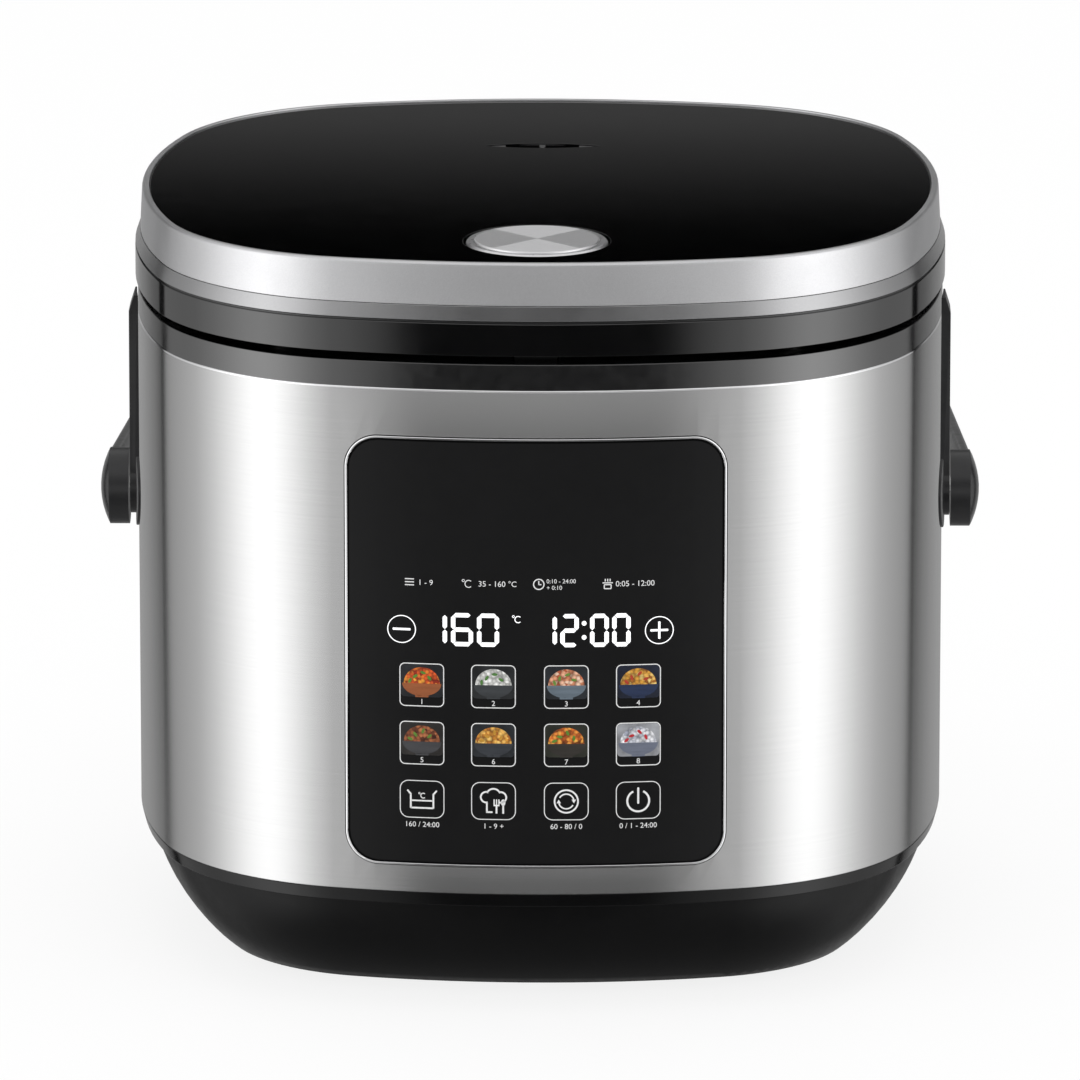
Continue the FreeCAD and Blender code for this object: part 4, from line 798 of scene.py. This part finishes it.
def drop_faces(piece, keep):
    """Deletes the faces of a flat piece whose middles fail the test."""
    select_where(piece, "FACE", lambda face: not keep(face.center))
    bpy.ops.mesh.delete(type="FACE")
    bpy.ops.mesh.select_mode(type="VERT")
    leave_edit()
    return piece


def arc_line(radius, line, x, z, start, end):
    """Part of a ring, from one angle to another, anticlockwise from the right."""

    def on_arc(place):
        angle = math.degrees(math.atan2(place.z - z * MM, place.x - x * MM))
        return (angle - start) % 360 < end - start

    return drop_faces(hollow(disc(radius, x, z, 120), line), on_arc)


def segment(x, z, length, thick, upright):
    """One pointed bar of a digit."""
    piece = tile(length, thick, 0, 0)
    edit(piece)
    bpy.ops.mesh.bevel(offset=thick * MM * 0.499, offset_type="OFFSET", segments=1, affect="VERTICES")
    bpy.ops.mesh.select_all(action="SELECT")
    bpy.ops.mesh.remove_doubles(threshold=thick * MM * 0.02)
    leave_edit()
    piece.rotation_euler = (0, STANDING if upright else 0, 0)
    piece.location = (x * MM, 0, z * MM)
    settle(piece)
    return piece


def lettering(text, x, z, height, side="CENTER"):
    clear_selection()
    bpy.ops.object.text_add(location=(0, 0, 0), rotation=(0, 0, 0))
    words = active()
    words.data.body = text
    words.data.size = height * MM / CAPITAL_SHARE
    words.data.align_x = side
    words.data.resolution_u = 3
    bpy.ops.object.convert(target="MESH")
    words = active()
    edit(words)
    bpy.ops.mesh.remove_doubles(threshold=0.001 * MM)
    leave_edit()
    words.rotation_euler = (STANDING, 0, 0)
    words.location = (x * MM, EASEL_Y, (z - height / 2) * MM)
    settle(words)
    return words


def cut_in_strips(piece):
    """Cuts a flat piece across, so that it can follow a curve."""
    edit(piece)
    for across in range(-STRIP_REACH, STRIP_REACH + 1, STRIP):
        bpy.ops.mesh.select_all(action="SELECT")
        bpy.ops.mesh.bisect(plane_co=(across * MM, 0, 0), plane_no=(1, 0, 0))
    leave_edit()


def print_on(piece, target, finish, gap=0.0):
    """Lays a flat piece back onto a curved wall and gives it the thickness of a print."""
    apply_modifier(piece, "SHRINKWRAP", target=target, wrap_method="PROJECT", use_project_y=True,
                   use_positive_direction=True, use_negative_direction=False, offset=gap)
    apply_modifier(piece, "SOLIDIFY", thickness=INK_THICKNESS, offset=1.0)
    edit(piece)
    bpy.ops.mesh.normals_make_consistent(inside=False)
    leave_edit()
    wear_finish(piece, finish)
    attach(piece, "body")


def lay_on_panel(name, pieces, finish, lift=INK_LIFT):
    """Joins flat pieces, cuts them into strips and lays them on the curved face of the panel."""
    piece = join(name, pieces)
    cut_in_strips(piece)
    radius = FRONT_RADIUS + PANEL_PROUD + lift
    centre_y = BODY_Y + FRONT_RADIUS - HALF_DEPTH
    guide = lone_point((-radius * math.sin(PANEL_REACH), centre_y - radius * math.cos(PANEL_REACH), 0.03))
    bpy.ops.mesh.extrude_region_move(TRANSFORM_OT_translate={"value": (0, 0, 0.19)})
    bpy.ops.mesh.select_all(action="SELECT")
    bpy.ops.mesh.spin(steps=80, angle=-2 * PANEL_REACH, center=(0, centre_y, 0), axis=(0, 0, 1))
    leave_edit()
    print_on(piece, guide, finish)
    remove(guide)


def panel_border():
    """A black line round the panel, just inside its bright frame: painted shadow of the gap between panel
    and frame.
    """
    low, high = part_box("control_panel")
    wide = (high[0] - low[0]) / MM
    tall = (high[2] - low[2]) / MM
    middle = (low[2] + high[2]) / 2 / MM
    gap_shadow = hollow(tile(wide, tall, 0, middle, PANEL_CORNER), GAP_SHADOW_LINE)
    lay_on_panel("panel_border", [gap_shadow], PAINTED_SHADE_BLACK)


def celsius(x, z, scale=1.0):
    ring = hollow(disc(0.44 * scale, x - 1.1 * scale, z + 0.9 * scale, 24), 0.2)
    letter = arc_line(1.22 * scale, 0.3, x + 0.5 * scale, z - 0.1 * scale, 48, 312)
    return [ring, letter]


LIT_BARS = {
    "0": "abcdef",
    "1": "bc",
    "2": "abged",
    "6": "acdefg",
}
# Figures of the display, each with its left and right edge.
DIGITS = (
    ("1", -35.0, -29.2), ("6", -27.9, -20.6), ("0", -19.3, -12.0),
    ("1", 1.6, 7.1), ("2", 8.2, 14.3), ("0", 18.0, 24.2), ("0", 25.3, 31.4),
)
DIGIT_LOW = 126.3
DIGIT_HIGH = 137.6
DIGIT_BAR = 1.46
BAR_GAP = 0.22
COLON_X = 16.05
COLON_DOTS = (129.6, 134.4)
DISPLAY_ROW = 131.5
LESS_X = -44.25
MORE_X = 40.85


def lit_digit(figure, left, right):
    """A seven-bar figure between the given edges, with small gaps where its bars meet."""
    half = (DIGIT_HIGH - DIGIT_LOW) / 2
    inner_left = left + DIGIT_BAR / 2
    inner_right = right - DIGIT_BAR / 2
    middle = (left + right) / 2
    level = right - left - DIGIT_BAR - BAR_GAP
    upright = half - DIGIT_BAR / 2 - BAR_GAP
    upper = DIGIT_LOW + half * 1.5 - DIGIT_BAR / 4
    lower = DIGIT_LOW + half * 0.5 + DIGIT_BAR / 4
    spots = {
        "a": (middle, DIGIT_HIGH - DIGIT_BAR / 2, level, False),
        "b": (inner_right, upper, upright, True),
        "c": (inner_right, lower, upright, True),
        "d": (middle, DIGIT_LOW + DIGIT_BAR / 2, level, False),
        "e": (inner_left, lower, upright, True),
        "f": (inner_left, upper, upright, True),
        "g": (middle, DIGIT_LOW + half, level, False),
    }
    bars = []
    for letter in LIT_BARS[figure]:
        x, z, length, standing = spots[letter]
        bars.append(segment(x, panel_z(z), length, DIGIT_BAR, standing))
    return bars


def panel_display():
    bars = []
    for figure, left, right in DIGITS:
        bars += lit_digit(figure, left, right)
    for dot in COLON_DOTS:
        bars.append(disc(0.8, COLON_X, panel_z(dot), 24))
    bars += celsius(-6.2, panel_z(135.8))
    z = panel_z(DISPLAY_ROW)
    for x in (LESS_X, MORE_X):
        bars.append(hollow(disc(4.75, x, z, 64), 0.3))
        bars.append(tile(5.9, 0.75, x, z, 0.2))
    for side in (1, -1):
        bars.append(tile(0.75, 2.6, MORE_X, z + side * 1.66, 0.2))
    lay_on_panel("display_figures", bars, GLOW)


STATUS_ROW = 147.7
# Words of the status row: left edge, lift over the row's middle, and height.
STATUS_WORDS = (
    ("1 - 9", -38.8, 0.0, 1.85),
    ("35 - 160 °C", -18.9, 0.0, 1.85),
    ("0:10 - 24:00", 3.6, 1.05, 1.4),
    ("+ 0:10", 3.6, -1.15, 1.4),
    ("0:05 - 12:00", 26.4, 0.0, 1.85),
)
LIST_X = -41.6
CLOCK_X = 1.1
POT_X = 23.8


def status_row():
    """Small signs of a list, a temperature, a clock and a steaming pot, with their ranges."""
    marks = []
    z = panel_z(STATUS_ROW)
    for step in (-1.02, 0, 1.02):
        marks.append(tile(3.0, 0.36, LIST_X, z + step))
    marks += celsius(-22.6, z, 1.1)
    marks.append(hollow(disc(1.9, CLOCK_X, z, 40), 0.36))
    marks.append(tile(0.36, 1.3, CLOCK_X, z + 0.5))
    marks.append(tile(0.9, 0.36, CLOCK_X + 0.4, z - 0.1))
    marks.append(hollow(tile(2.6, 1.7, POT_X, z - 0.95, 0.4), 0.34))
    marks.append(tile(3.4, 0.36, POT_X, z + 0.35))
    for steam in (-0.8, 0.0, 0.8):
        marks.append(tile(0.34, 0.9, POT_X + steam, z + 1.25))
    for words, x, lift, tall in STATUS_WORDS:
        marks.append(lettering(words, x, z + lift, tall, "LEFT"))
    lay_on_panel("status_marks", marks, INK)


# Each picture key: bowl, backdrop, garnish and the colours of the food.
PICTURES = (
    ("soup", (0.34, 0.10, 0.03), (0.020, 0.022, 0.026), (0.10, 0.26, 0.03),
     ((0.30, 0.02, 0.004), (0.72, 0.10, 0.01), (0.85, 0.36, 0.03))),
    ("rice", (0.05, 0.055, 0.06), (0.028, 0.030, 0.032), (0.09, 0.24, 0.05),
     ((0.42, 0.42, 0.40), (0.80, 0.80, 0.77), (0.90, 0.90, 0.88))),
    ("fish", (0.14, 0.18, 0.22), (0.026, 0.030, 0.036), (0.16, 0.30, 0.05),
     ((0.52, 0.11, 0.04), (0.80, 0.32, 0.16), (0.85, 0.58, 0.42))),
    ("grain", (0.02, 0.035, 0.09), (0.016, 0.022, 0.045), (0.50, 0.05, 0.02),
     ((0.34, 0.11, 0.01), (0.74, 0.36, 0.04), (0.86, 0.62, 0.20))),
    ("roast", (0.06, 0.06, 0.065), (0.030, 0.027, 0.025), (0.12, 0.24, 0.03),
     ((0.05, 0.012, 0.006), (0.26, 0.07, 0.025), (0.50, 0.17, 0.06))),
    ("bake", (0.045, 0.05, 0.06), (0.030, 0.034, 0.040), (0.60, 0.30, 0.03),
     ((0.42, 0.13, 0.015), (0.76, 0.32, 0.03), (0.88, 0.55, 0.14))),
    ("stew", (0.04, 0.035, 0.03), (0.034, 0.036, 0.026), (0.12, 0.28, 0.03),
     ((0.20, 0.05, 0.005), (0.74, 0.15, 0.015), (0.86, 0.42, 0.06))),
    ("curd", (0.16, 0.18, 0.24), (0.42, 0.43, 0.46), (0.55, 0.02, 0.03),
     ((0.34, 0.36, 0.44), (0.74, 0.75, 0.80), (0.88, 0.88, 0.90))),
)
# Sprigs of garnish: place across, lift over the brim, and turn.
SPRIGS = ((-2.2, 2.4, 0.6), (0.4, 3.7, -0.4), (2.5, 1.9, -0.9), (-3.9, 0.9, 1.1))
KEY_COLUMNS = (-37.6, -13.9, 10.2, 34.0)
PICTURE_ROWS = (112.7, 92.8)
FUNCTION_ROW = 73.55
WORD_ROW = 64.95
KEY_SIDE = 14.8
KEY_WORD = 1.75
MARK_LINE = 0.58


def picture_keys():
    outlines = []
    numbers = []
    for index, (name, bowl, back, garnish, food) in enumerate(PICTURES):
        x = KEY_COLUMNS[index % 4]
        z = panel_z(PICTURE_ROWS[index // 4])
        outlines.append(hollow(tile(KEY_SIDE, KEY_SIDE, x, z, 1.8), 0.32))
        field = tile(KEY_SIDE - 0.84, 11.1, x, z + 1.42, 1.3)
        lay_on_panel(name + "_key_field", [field], picture_backdrop(name + "_backdrop", back))
        brim = z + 0.5
        mound = slice_off(disc(6.0, x, brim, 48, 0.92), brim, -1)
        lay_on_panel(name + "_key_food", [mound], picture_food(name + "_food", food), PICTURE_LIFT)
        dish = slice_off(disc(6.5, x, brim, 48, 0.66), brim, 1)
        foot = tile(4.4, 0.7, x, brim - 4.35, 0.2)
        lay_on_panel(name + "_key_bowl", [dish, foot], picture_bowl(name + "_bowl", bowl), PICTURE_LIFT)
        sprigs = []
        for place, lift, turn in SPRIGS:
            sprigs.append(disc(0.95, x + place, brim + lift, 16, 0.5, turn + index * 0.4))
        lay_on_panel(name + "_key_garnish", sprigs, picture_bowl(name + "_garnish", garnish), GARNISH_LIFT)
        numbers.append(lettering(str(index + 1), x, z - 5.7, KEY_WORD))
    lay_on_panel("picture_key_outlines", outlines, INK)
    lay_on_panel("picture_key_numbers", numbers, INK, NUMBER_LIFT)


def pot_mark(x, z):
    """An open pot with a temperature sign over its water line."""
    marks = [tile(7.6, MARK_LINE, x, z - 3.0, 0.2)]
    for side in (-1, 1):
        marks.append(tile(MARK_LINE, 4.9, x + side * 3.75, z - 0.7, 0.2))
        marks.append(tile(2.0, MARK_LINE, x + side * 4.25, z + 2.3, 0.2, side * 0.85))
    marks.append(tile(6.8, 0.5, x, z - 0.5))
    return marks + celsius(x, z + 1.3, 0.8)


def cook_mark(x, z):
    """A cook's hat with a fork and a spoon."""
    marks = [
        arc_line(2.1, MARK_LINE, x - 2.4, z + 1.3, 75, 285),
        arc_line(2.6, MARK_LINE, x, z + 1.9, 20, 160),
        arc_line(2.1, MARK_LINE, x + 2.4, z + 1.3, -105, 105),
        tile(MARK_LINE, 3.4, x - 2.2, z - 2.2, 0.2),
        tile(2.2, MARK_LINE, x - 1.4, z - 3.8, 0.2),
    ]
    for prong in (0.2, 1.0, 1.8):
        marks.append(tile(0.4, 2.0, x + prong, z - 0.4))
    marks.append(tile(2.0, 0.5, x + 1.0, z - 1.5, 0.1))
    marks.append(tile(0.6, 2.7, x + 1.0, z - 2.9, 0.1))
    marks.append(disc(0.75, x + 3.2, z - 0.5, 24, 1.5))
    marks.append(tile(0.6, 3.0, x + 3.2, z - 2.8, 0.1))
    return marks


def dish_mark(x, z):
    """A round dish with two turning arrows."""
    return [
        hollow(disc(4.15, x, z, 72), 0.56),
        arc_line(2.75, 0.46, x, z, 15, 150),
        arc_line(2.75, 0.46, x, z, 195, 330),
        disc(0.85, x + 2.5, z + 0.2, 3, 1.0, math.pi),
        disc(0.85, x - 2.5, z - 0.2, 3),
    ]


def power_mark(x, z):
    return [arc_line(3.95, 0.66, x, z - 0.2, -242, 62), tile(0.66, 5.6, x, z + 1.6, 0.2)]


def function_keys():
    keys = (
        (pot_mark, "160 / 24:00"),
        (cook_mark, "1 - 9 +"),
        (dish_mark, "60 - 80 / 0"),
        (power_mark, "0 / 1 - 24:00"),
    )
    outlines = []
    marks = []
    z = panel_z(FUNCTION_ROW)
    for x, (mark, words) in zip(KEY_COLUMNS, keys):
        outlines.append(hollow(tile(KEY_SIDE, 12.9, x, z, 2.9), 0.28))
        marks += mark(x, z)
    for x, (mark, words) in zip(KEY_COLUMNS, keys):
        marks.append(lettering(words, x, panel_z(WORD_ROW), KEY_WORD))
    lay_on_panel("function_key_outlines", outlines, INK)
    lay_on_panel("function_key_marks", marks, INK)


def bowl_scale():
    """Level marks on the back wall inside the bowl."""
    low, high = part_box("cooking_bowl")
    bottom = low[2] / MM
    deep = (high[2] - low[2]) / MM
    marks = []
    for level in range(1, 6):
        z = bottom + deep * (0.13 + 0.14 * level)
        marks.append(tile(9.0, 0.7, 0, z, 0.2))
        marks.append(lettering(str(level), 9.0, z, 4.2))
        if level > 1:
            marks.append(tile(5.0, 0.5, -2.0, z - deep * 0.07, 0.2))
    scale = join("bowl_scale", marks)
    cut_in_strips(scale)
    edit(scale)
    bpy.ops.transform.translate(value=(0, BODY_Y - EASEL_Y, 0))
    leave_edit()
    print_on(scale, frame["nodes"]["cooking_bowl"], INK, INK_LIFT)


# Changes to the copies of the CAD nodes.

def pressed_springs():
    """Copies of the button's and the sensor's coil springs, each with a mesh of its own."""
    for node, body, joint, travel in (("button_spring", "lid", "button_press", 2.5 * MM),
                                      ("sensor_spring", "body", "sensor_dip", 3.0 * MM)):
        slot = NODE_SLOTS[node]
        spring = moulded_copy(node, body, FINISHES[slot])
        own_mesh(spring)


def rim_set_in():
    """Draws the rim ring in and its lower edge down, so that the steel's rolled edge shows round it."""
    rim = bpy.data.objects["body_rim_finished"]
    share = 1 - RIM_INSET / HALF_WIDTH
    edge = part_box("steel_wrap")[1][2]
    edit(rim)
    bpy.ops.transform.resize(value=(share, share, 1), center_override=(0, BODY_Y, 0))
    select_where(rim, "VERT", lambda vertex: abs(vertex.co.z - edge) < 0.5 * MM)
    bpy.ops.transform.translate(value=(0, 0, -RIM_DROP))
    leave_edit()


def graphite_shoulder():
    """The sloped strip of the lid above its groove is painted graphite."""
    shell = bpy.data.objects["lid_shell_finished"]
    shell.data.materials.append(GRAPHITE)
    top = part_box("lid_rim")[0][2]
    for face in shell.data.polygons:
        level_top = face.normal.z > 0.9 and face.center.z > top - MM
        if face.center.z > top - STRIP_HEIGHT and not level_top:
            face.material_index = 1


def vent_mouths():
    """Two steam mouths cut into the top of the vent, with a bridge between them; their insides are painted
    black as shade.
    """
    valve = bpy.data.objects["steam_valve_finished"]
    low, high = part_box("steam_valve")
    middle = (low[1] + high[1]) / 2
    top = high[2] + VENT_RAISE
    margin = 0.1 * MM
    select_where(valve, "VERT", lambda vertex: vertex.co.z > high[2] - VENT_TOP)
    bpy.ops.transform.translate(value=(0, 0, VENT_RAISE))
    leave_edit()
    for side in (-1, 1):
        near, far = sorted((side * MOUTH_NEAR, side * MOUTH_FAR))
        cut_away(valve, block((near, middle - MOUTH_FRONT, top - MOUTH_DEPTH),
                              (far, middle + MOUTH_BACK, top + 1.0 * MM)))
    round_edges(valve, 0.2 * MM)
    smooth(valve, SMOOTH_ANGLE)
    wear_finish(valve, VENT_SATIN)
    # The mouths' inner faces wear painted shade black.
    valve.data.materials.append(PAINTED_SHADE_BLACK)
    for face in valve.data.polygons:
        x, y, z = face.center
        across = abs(x) < MOUTH_FAR + margin
        deep = -MOUTH_FRONT - margin < y - middle < MOUTH_BACK + margin
        if across and deep and top - MOUTH_DEPTH - margin < z < top - margin:
            face.material_index = 1


# Finishes on the CAD nodes, then the copies that replace the visible ones.

NODE_SLOTS = {part["node"]: part["material_slot"] for part in frame["record"]["subparts"]}
for node, slot in NODE_SLOTS.items():
    wear_finish(frame["nodes"][node], FINISHES[slot])
for node in ("latch_slide", "latch_strike", "bottom_cover"):
    wear_finish(frame["nodes"][node], BASE_SATIN)
wear_finish(frame["nodes"]["inner_lid"], SATIN_RING)

# Body that each copy rides, the rounding of its edges in mm, and whether short edges may limit it.
ROUNDED = {
    "base_shell": ("body", 0.5, False),
    "lower_trim_ring": ("body", 0.35, True),
    "body_rim": ("body", 0.4, False),
    "control_panel": ("body", 0.15, False),
    "panel_frame": ("body", 0.3, False),
    "rear_panel": ("body", 0.3, True),
    "hinge_housing": ("body", 0.4, False),
    "power_inlet": ("body", 0.4, True),
    "lid_shell": ("lid", 0.35, True),
    "lid_rim": ("lid", 0.3, True),
    "lid_top_plate": ("lid", 0.2, True),
    "steam_valve": ("valve", 0.0, True),
    "button_cap": ("button", 0.25, True),
    "button_face": ("button", 0.2, True),
    "carry_handle": ("handle", 0.35, True),
    "handle_caps": ("handle", 0.5, True),
    "condensate_cup": ("cup", 0.5, True),
    "cooking_bowl": ("body", 0.3, True),
}
OWN_FINISHES = {
    "base_shell": BASE_SATIN,
    "lower_trim_ring": TRIM_BAND,
    "body_rim": RIM_SATIN,
    "button_cap": SATIN_RING,
    "handle_caps": CAP_GLOSS,
}
for node, (body, round_off, clamp) in ROUNDED.items():
    finish = OWN_FINISHES.get(node, FINISHES[NODE_SLOTS[node]])
    moulded_copy(node, body, finish, round_off * MM, clamp)
LUGS = ("handle_lug_left", "handle_lug_right")
for node in LUGS:
    slot = NODE_SLOTS[node]
    moulded_copy(node, "body", FINISHES[slot], 0.24 * MM, False, merge=0.2 * MM, flat=3.0)

# The handle's pieces stay out of reflections, where they would darken the steel's edge.
for node in LUGS + ("carry_handle", "handle_caps"):
    bpy.data.objects[node + "_finished"].visible_glossy = False
frame["nodes"]["handle_pins"].visible_glossy = False

steel_skin()
bowl_scale()
pressed_springs()
rim_set_in()
graphite_shoulder()
vent_mouths()
panel_border()
panel_display()
status_row()
picture_keys()
function_keys()


# Studio: a pale floor, soft light, and tones that only reflections see.

FLOOR_WHITE = 0.85
PLAIN_LIGHT = 0.92
STUDIO_PEAK = 2.0


def pale_floor():
    clear_selection()
    bpy.ops.mesh.primitive_plane_add(size=14.0, location=(0, 0, 0))
    floor = active()
    floor.name = "floor"
    finish = Finish("floor_paper", grey(0.96), 0.9, specular=0.1)
    finish.mottle(2.0, grey(0.955), grey(0.965))
    path = finish.nodes.new("ShaderNodeLightPath")
    seen = finish.sum("MAXIMUM", path.outputs["Is Camera Ray"], path.outputs["Is Transmission Ray"])
    seen = finish.sum("MAXIMUM", seen, path.outputs["Is Glossy Ray"])
    white = finish.nodes.new("ShaderNodeEmission")
    white.inputs["Strength"].default_value = 1.0
    finish.surface(finish.sum("MULTIPLY", seen, FLOOR_WHITE), finish.shader, white, "Material Output")
    wear_finish(floor, finish.material)
    floor.visible_glossy = False


# Tones of the studio by angle round from the front: the sides alike, the front at three heights.
SIDE_TONES = (
    (27, 0.64), (33, 0.84), (40.5, 1.08), (47.5, 1.4), (56, 1.74), (64, 1.9), (73.5, 1.76), (83, 1.4),
    (94.5, 1.0), (107, 0.69), (118, 0.57), (130, 0.48), (138.4, 0.42), (139, 0.01), (146, 0.01),
    (146.6, 0.25), (152, 0.28), (158, 0.38), (180, 0.46),
)
LOW_TONES = ((0, 0.02), (16, 0.02), (19, 0.12), (23, 0.42)) + SIDE_TONES
EYE_TONES = ((0, 0.77), (14, 0.72), (19, 0.6), (23, 0.6)) + SIDE_TONES
HIGH_TONES = ((0, 0.13), (12, 0.15), (19, 0.28), (23, 0.42)) + SIDE_TONES
GROUND_TONE = 0.12
CEILING_TONE = 0.44
# Degrees over the horizon between which each set of tones takes over from the one below it.
LOW_RISE = (-52, -42)
EYE_RISE = (-9, -7)
HIGH_RISE = (9, 13)
CEILING_RISE = (34, 42)


def studio_world():
    """Even white light for the object, with darker and brighter walls that only reflections see."""
    world = bpy.data.worlds.new("studio_world")
    world.use_nodes = True
    world.cycles.sampling_method = "NONE"
    bpy.context.scene.world = world
    wiring = Wiring(world.node_tree)
    split = wiring.axes(wiring.nodes.new("ShaderNodeTexCoord").outputs["Generated"])
    aside = wiring.sum("ABSOLUTE", split["X"])
    ahead = wiring.sum("MULTIPLY", split["Y"], -1.0)
    turn = wiring.sum("DIVIDE", wiring.sum("ARCTAN2", aside, ahead), math.pi)
    rise = wiring.sum("DIVIDE", wiring.sum("ARCSINE", split["Z"]), math.pi / 2)

    def above(angles):
        return wiring.span(rise, 0.0, 1.0, angles[0] / 90, angles[1] / 90)

    tone = grey(GROUND_TONE)
    for angles, tones in ((LOW_RISE, LOW_TONES), (EYE_RISE, EYE_TONES), (HIGH_RISE, HIGH_TONES)):
        stops = [(angle / 180, (level / STUDIO_PEAK,) * 3) for angle, level in tones]
        tone = wiring.blend(above(angles), tone, wiring.ramp(turn, stops))
    tone = wiring.blend(above(CEILING_RISE), tone, grey(CEILING_TONE))
    walls = wiring.nodes.new("ShaderNodeBackground")
    wiring.links.new(tone, walls.inputs["Color"])
    walls.inputs["Strength"].default_value = STUDIO_PEAK
    plain = wiring.nodes["Background"]
    plain.inputs["Color"].default_value = (1, 1, 1, 1)
    plain.inputs["Strength"].default_value = PLAIN_LIGHT
    glossy = wiring.nodes.new("ShaderNodeLightPath").outputs["Is Glossy Ray"]
    wiring.surface(glossy, plain, walls, "World Output")


# The back card's tone by height in metres.
CARD_TONES = (
    (0.44, 0.4), (0.52, 0.16), (0.578, 0.12), (0.592, 0.07), (0.602, 0.05), (0.611, 0.027), (0.62, 0.012),
    (0.63, 0.0),
)


def back_card():
    """A card behind the object whose fading tone the gloss plate mirrors."""
    clear_selection()
    bpy.ops.mesh.primitive_plane_add(size=1.0, location=(0, 1.6, 0.7), rotation=(STANDING, 0, 0))
    card = active()
    card.name = "back_card"
    card.scale = (2.6, 0.56, 1)
    settle(card)
    finish = Finish("back_card_glow", (0, 0, 0), 1.0, specular=0.0)
    stops = [(height, grey(level)) for height, level in CARD_TONES]
    tone = finish.ramp(finish.axes(finish.place)["Z"], stops)
    glow = finish.nodes.new("ShaderNodeEmission")
    finish.links.new(tone, glow.inputs["Color"])
    finish.links.new(glow.outputs[0], finish.nodes["Material Output"].inputs["Surface"])
    wear_finish(card, finish.material)
    card.visible_camera = False
    card.visible_diffuse = False
    card.visible_shadow = False
    card.visible_transmission = False


def soft_light(name, place, aim, size, power):
    """A softbox that lights the object and shows neither to the camera nor in reflections."""
    clear_selection()
    bpy.ops.object.light_add(type="AREA", location=place)
    lamp = active()
    lamp.name = name
    lamp.data.shape = "RECTANGLE"
    lamp.data.size = size[0]
    lamp.data.size_y = size[1]
    lamp.data.energy = power
    dx, dy, dz = (a - p for a, p in zip(aim, place))
    lamp.rotation_euler = (STANDING + math.atan2(dz, math.hypot(dx, dy)), 0, math.atan2(-dx, dy))
    lamp.visible_glossy = False
    lamp.visible_camera = False


def studio():
    pale_floor()
    back_card()
    studio_world()
    soft_light("overhead_softbox", (0, -0.1, 2.3), (0, 0, 0), (1.8, 1.8), 9.0)
    soft_light("front_fill", (0.2, -2.4, 1.3), (0, 0, 0.12), (1.6, 1.2), 5.0)
    bpy.context.scene.view_settings.view_transform = "Standard"


def photo_camera():
    aim = (0, BODY_Y - 0.012, 0.1322)
    azimuth = math.radians(0.7)
    elevation = math.radians(14.0)
    distance = 4.0
    level = distance * math.cos(elevation)
    place = (aim[0] + level * math.sin(azimuth), aim[1] - level * math.cos(azimuth),
             aim[2] + distance * math.sin(elevation))
    clear_selection()
    bpy.ops.object.camera_add(location=place, rotation=(STANDING - elevation, 0, azimuth))
    camera = active()
    camera.name = "photo_camera"
    camera.data.sensor_width = 36.0
    camera.data.lens = 392.2
    camera.data.clip_end = 60.0
    bpy.context.scene.camera = camera


studio()
photo_camera()

clear_selection()
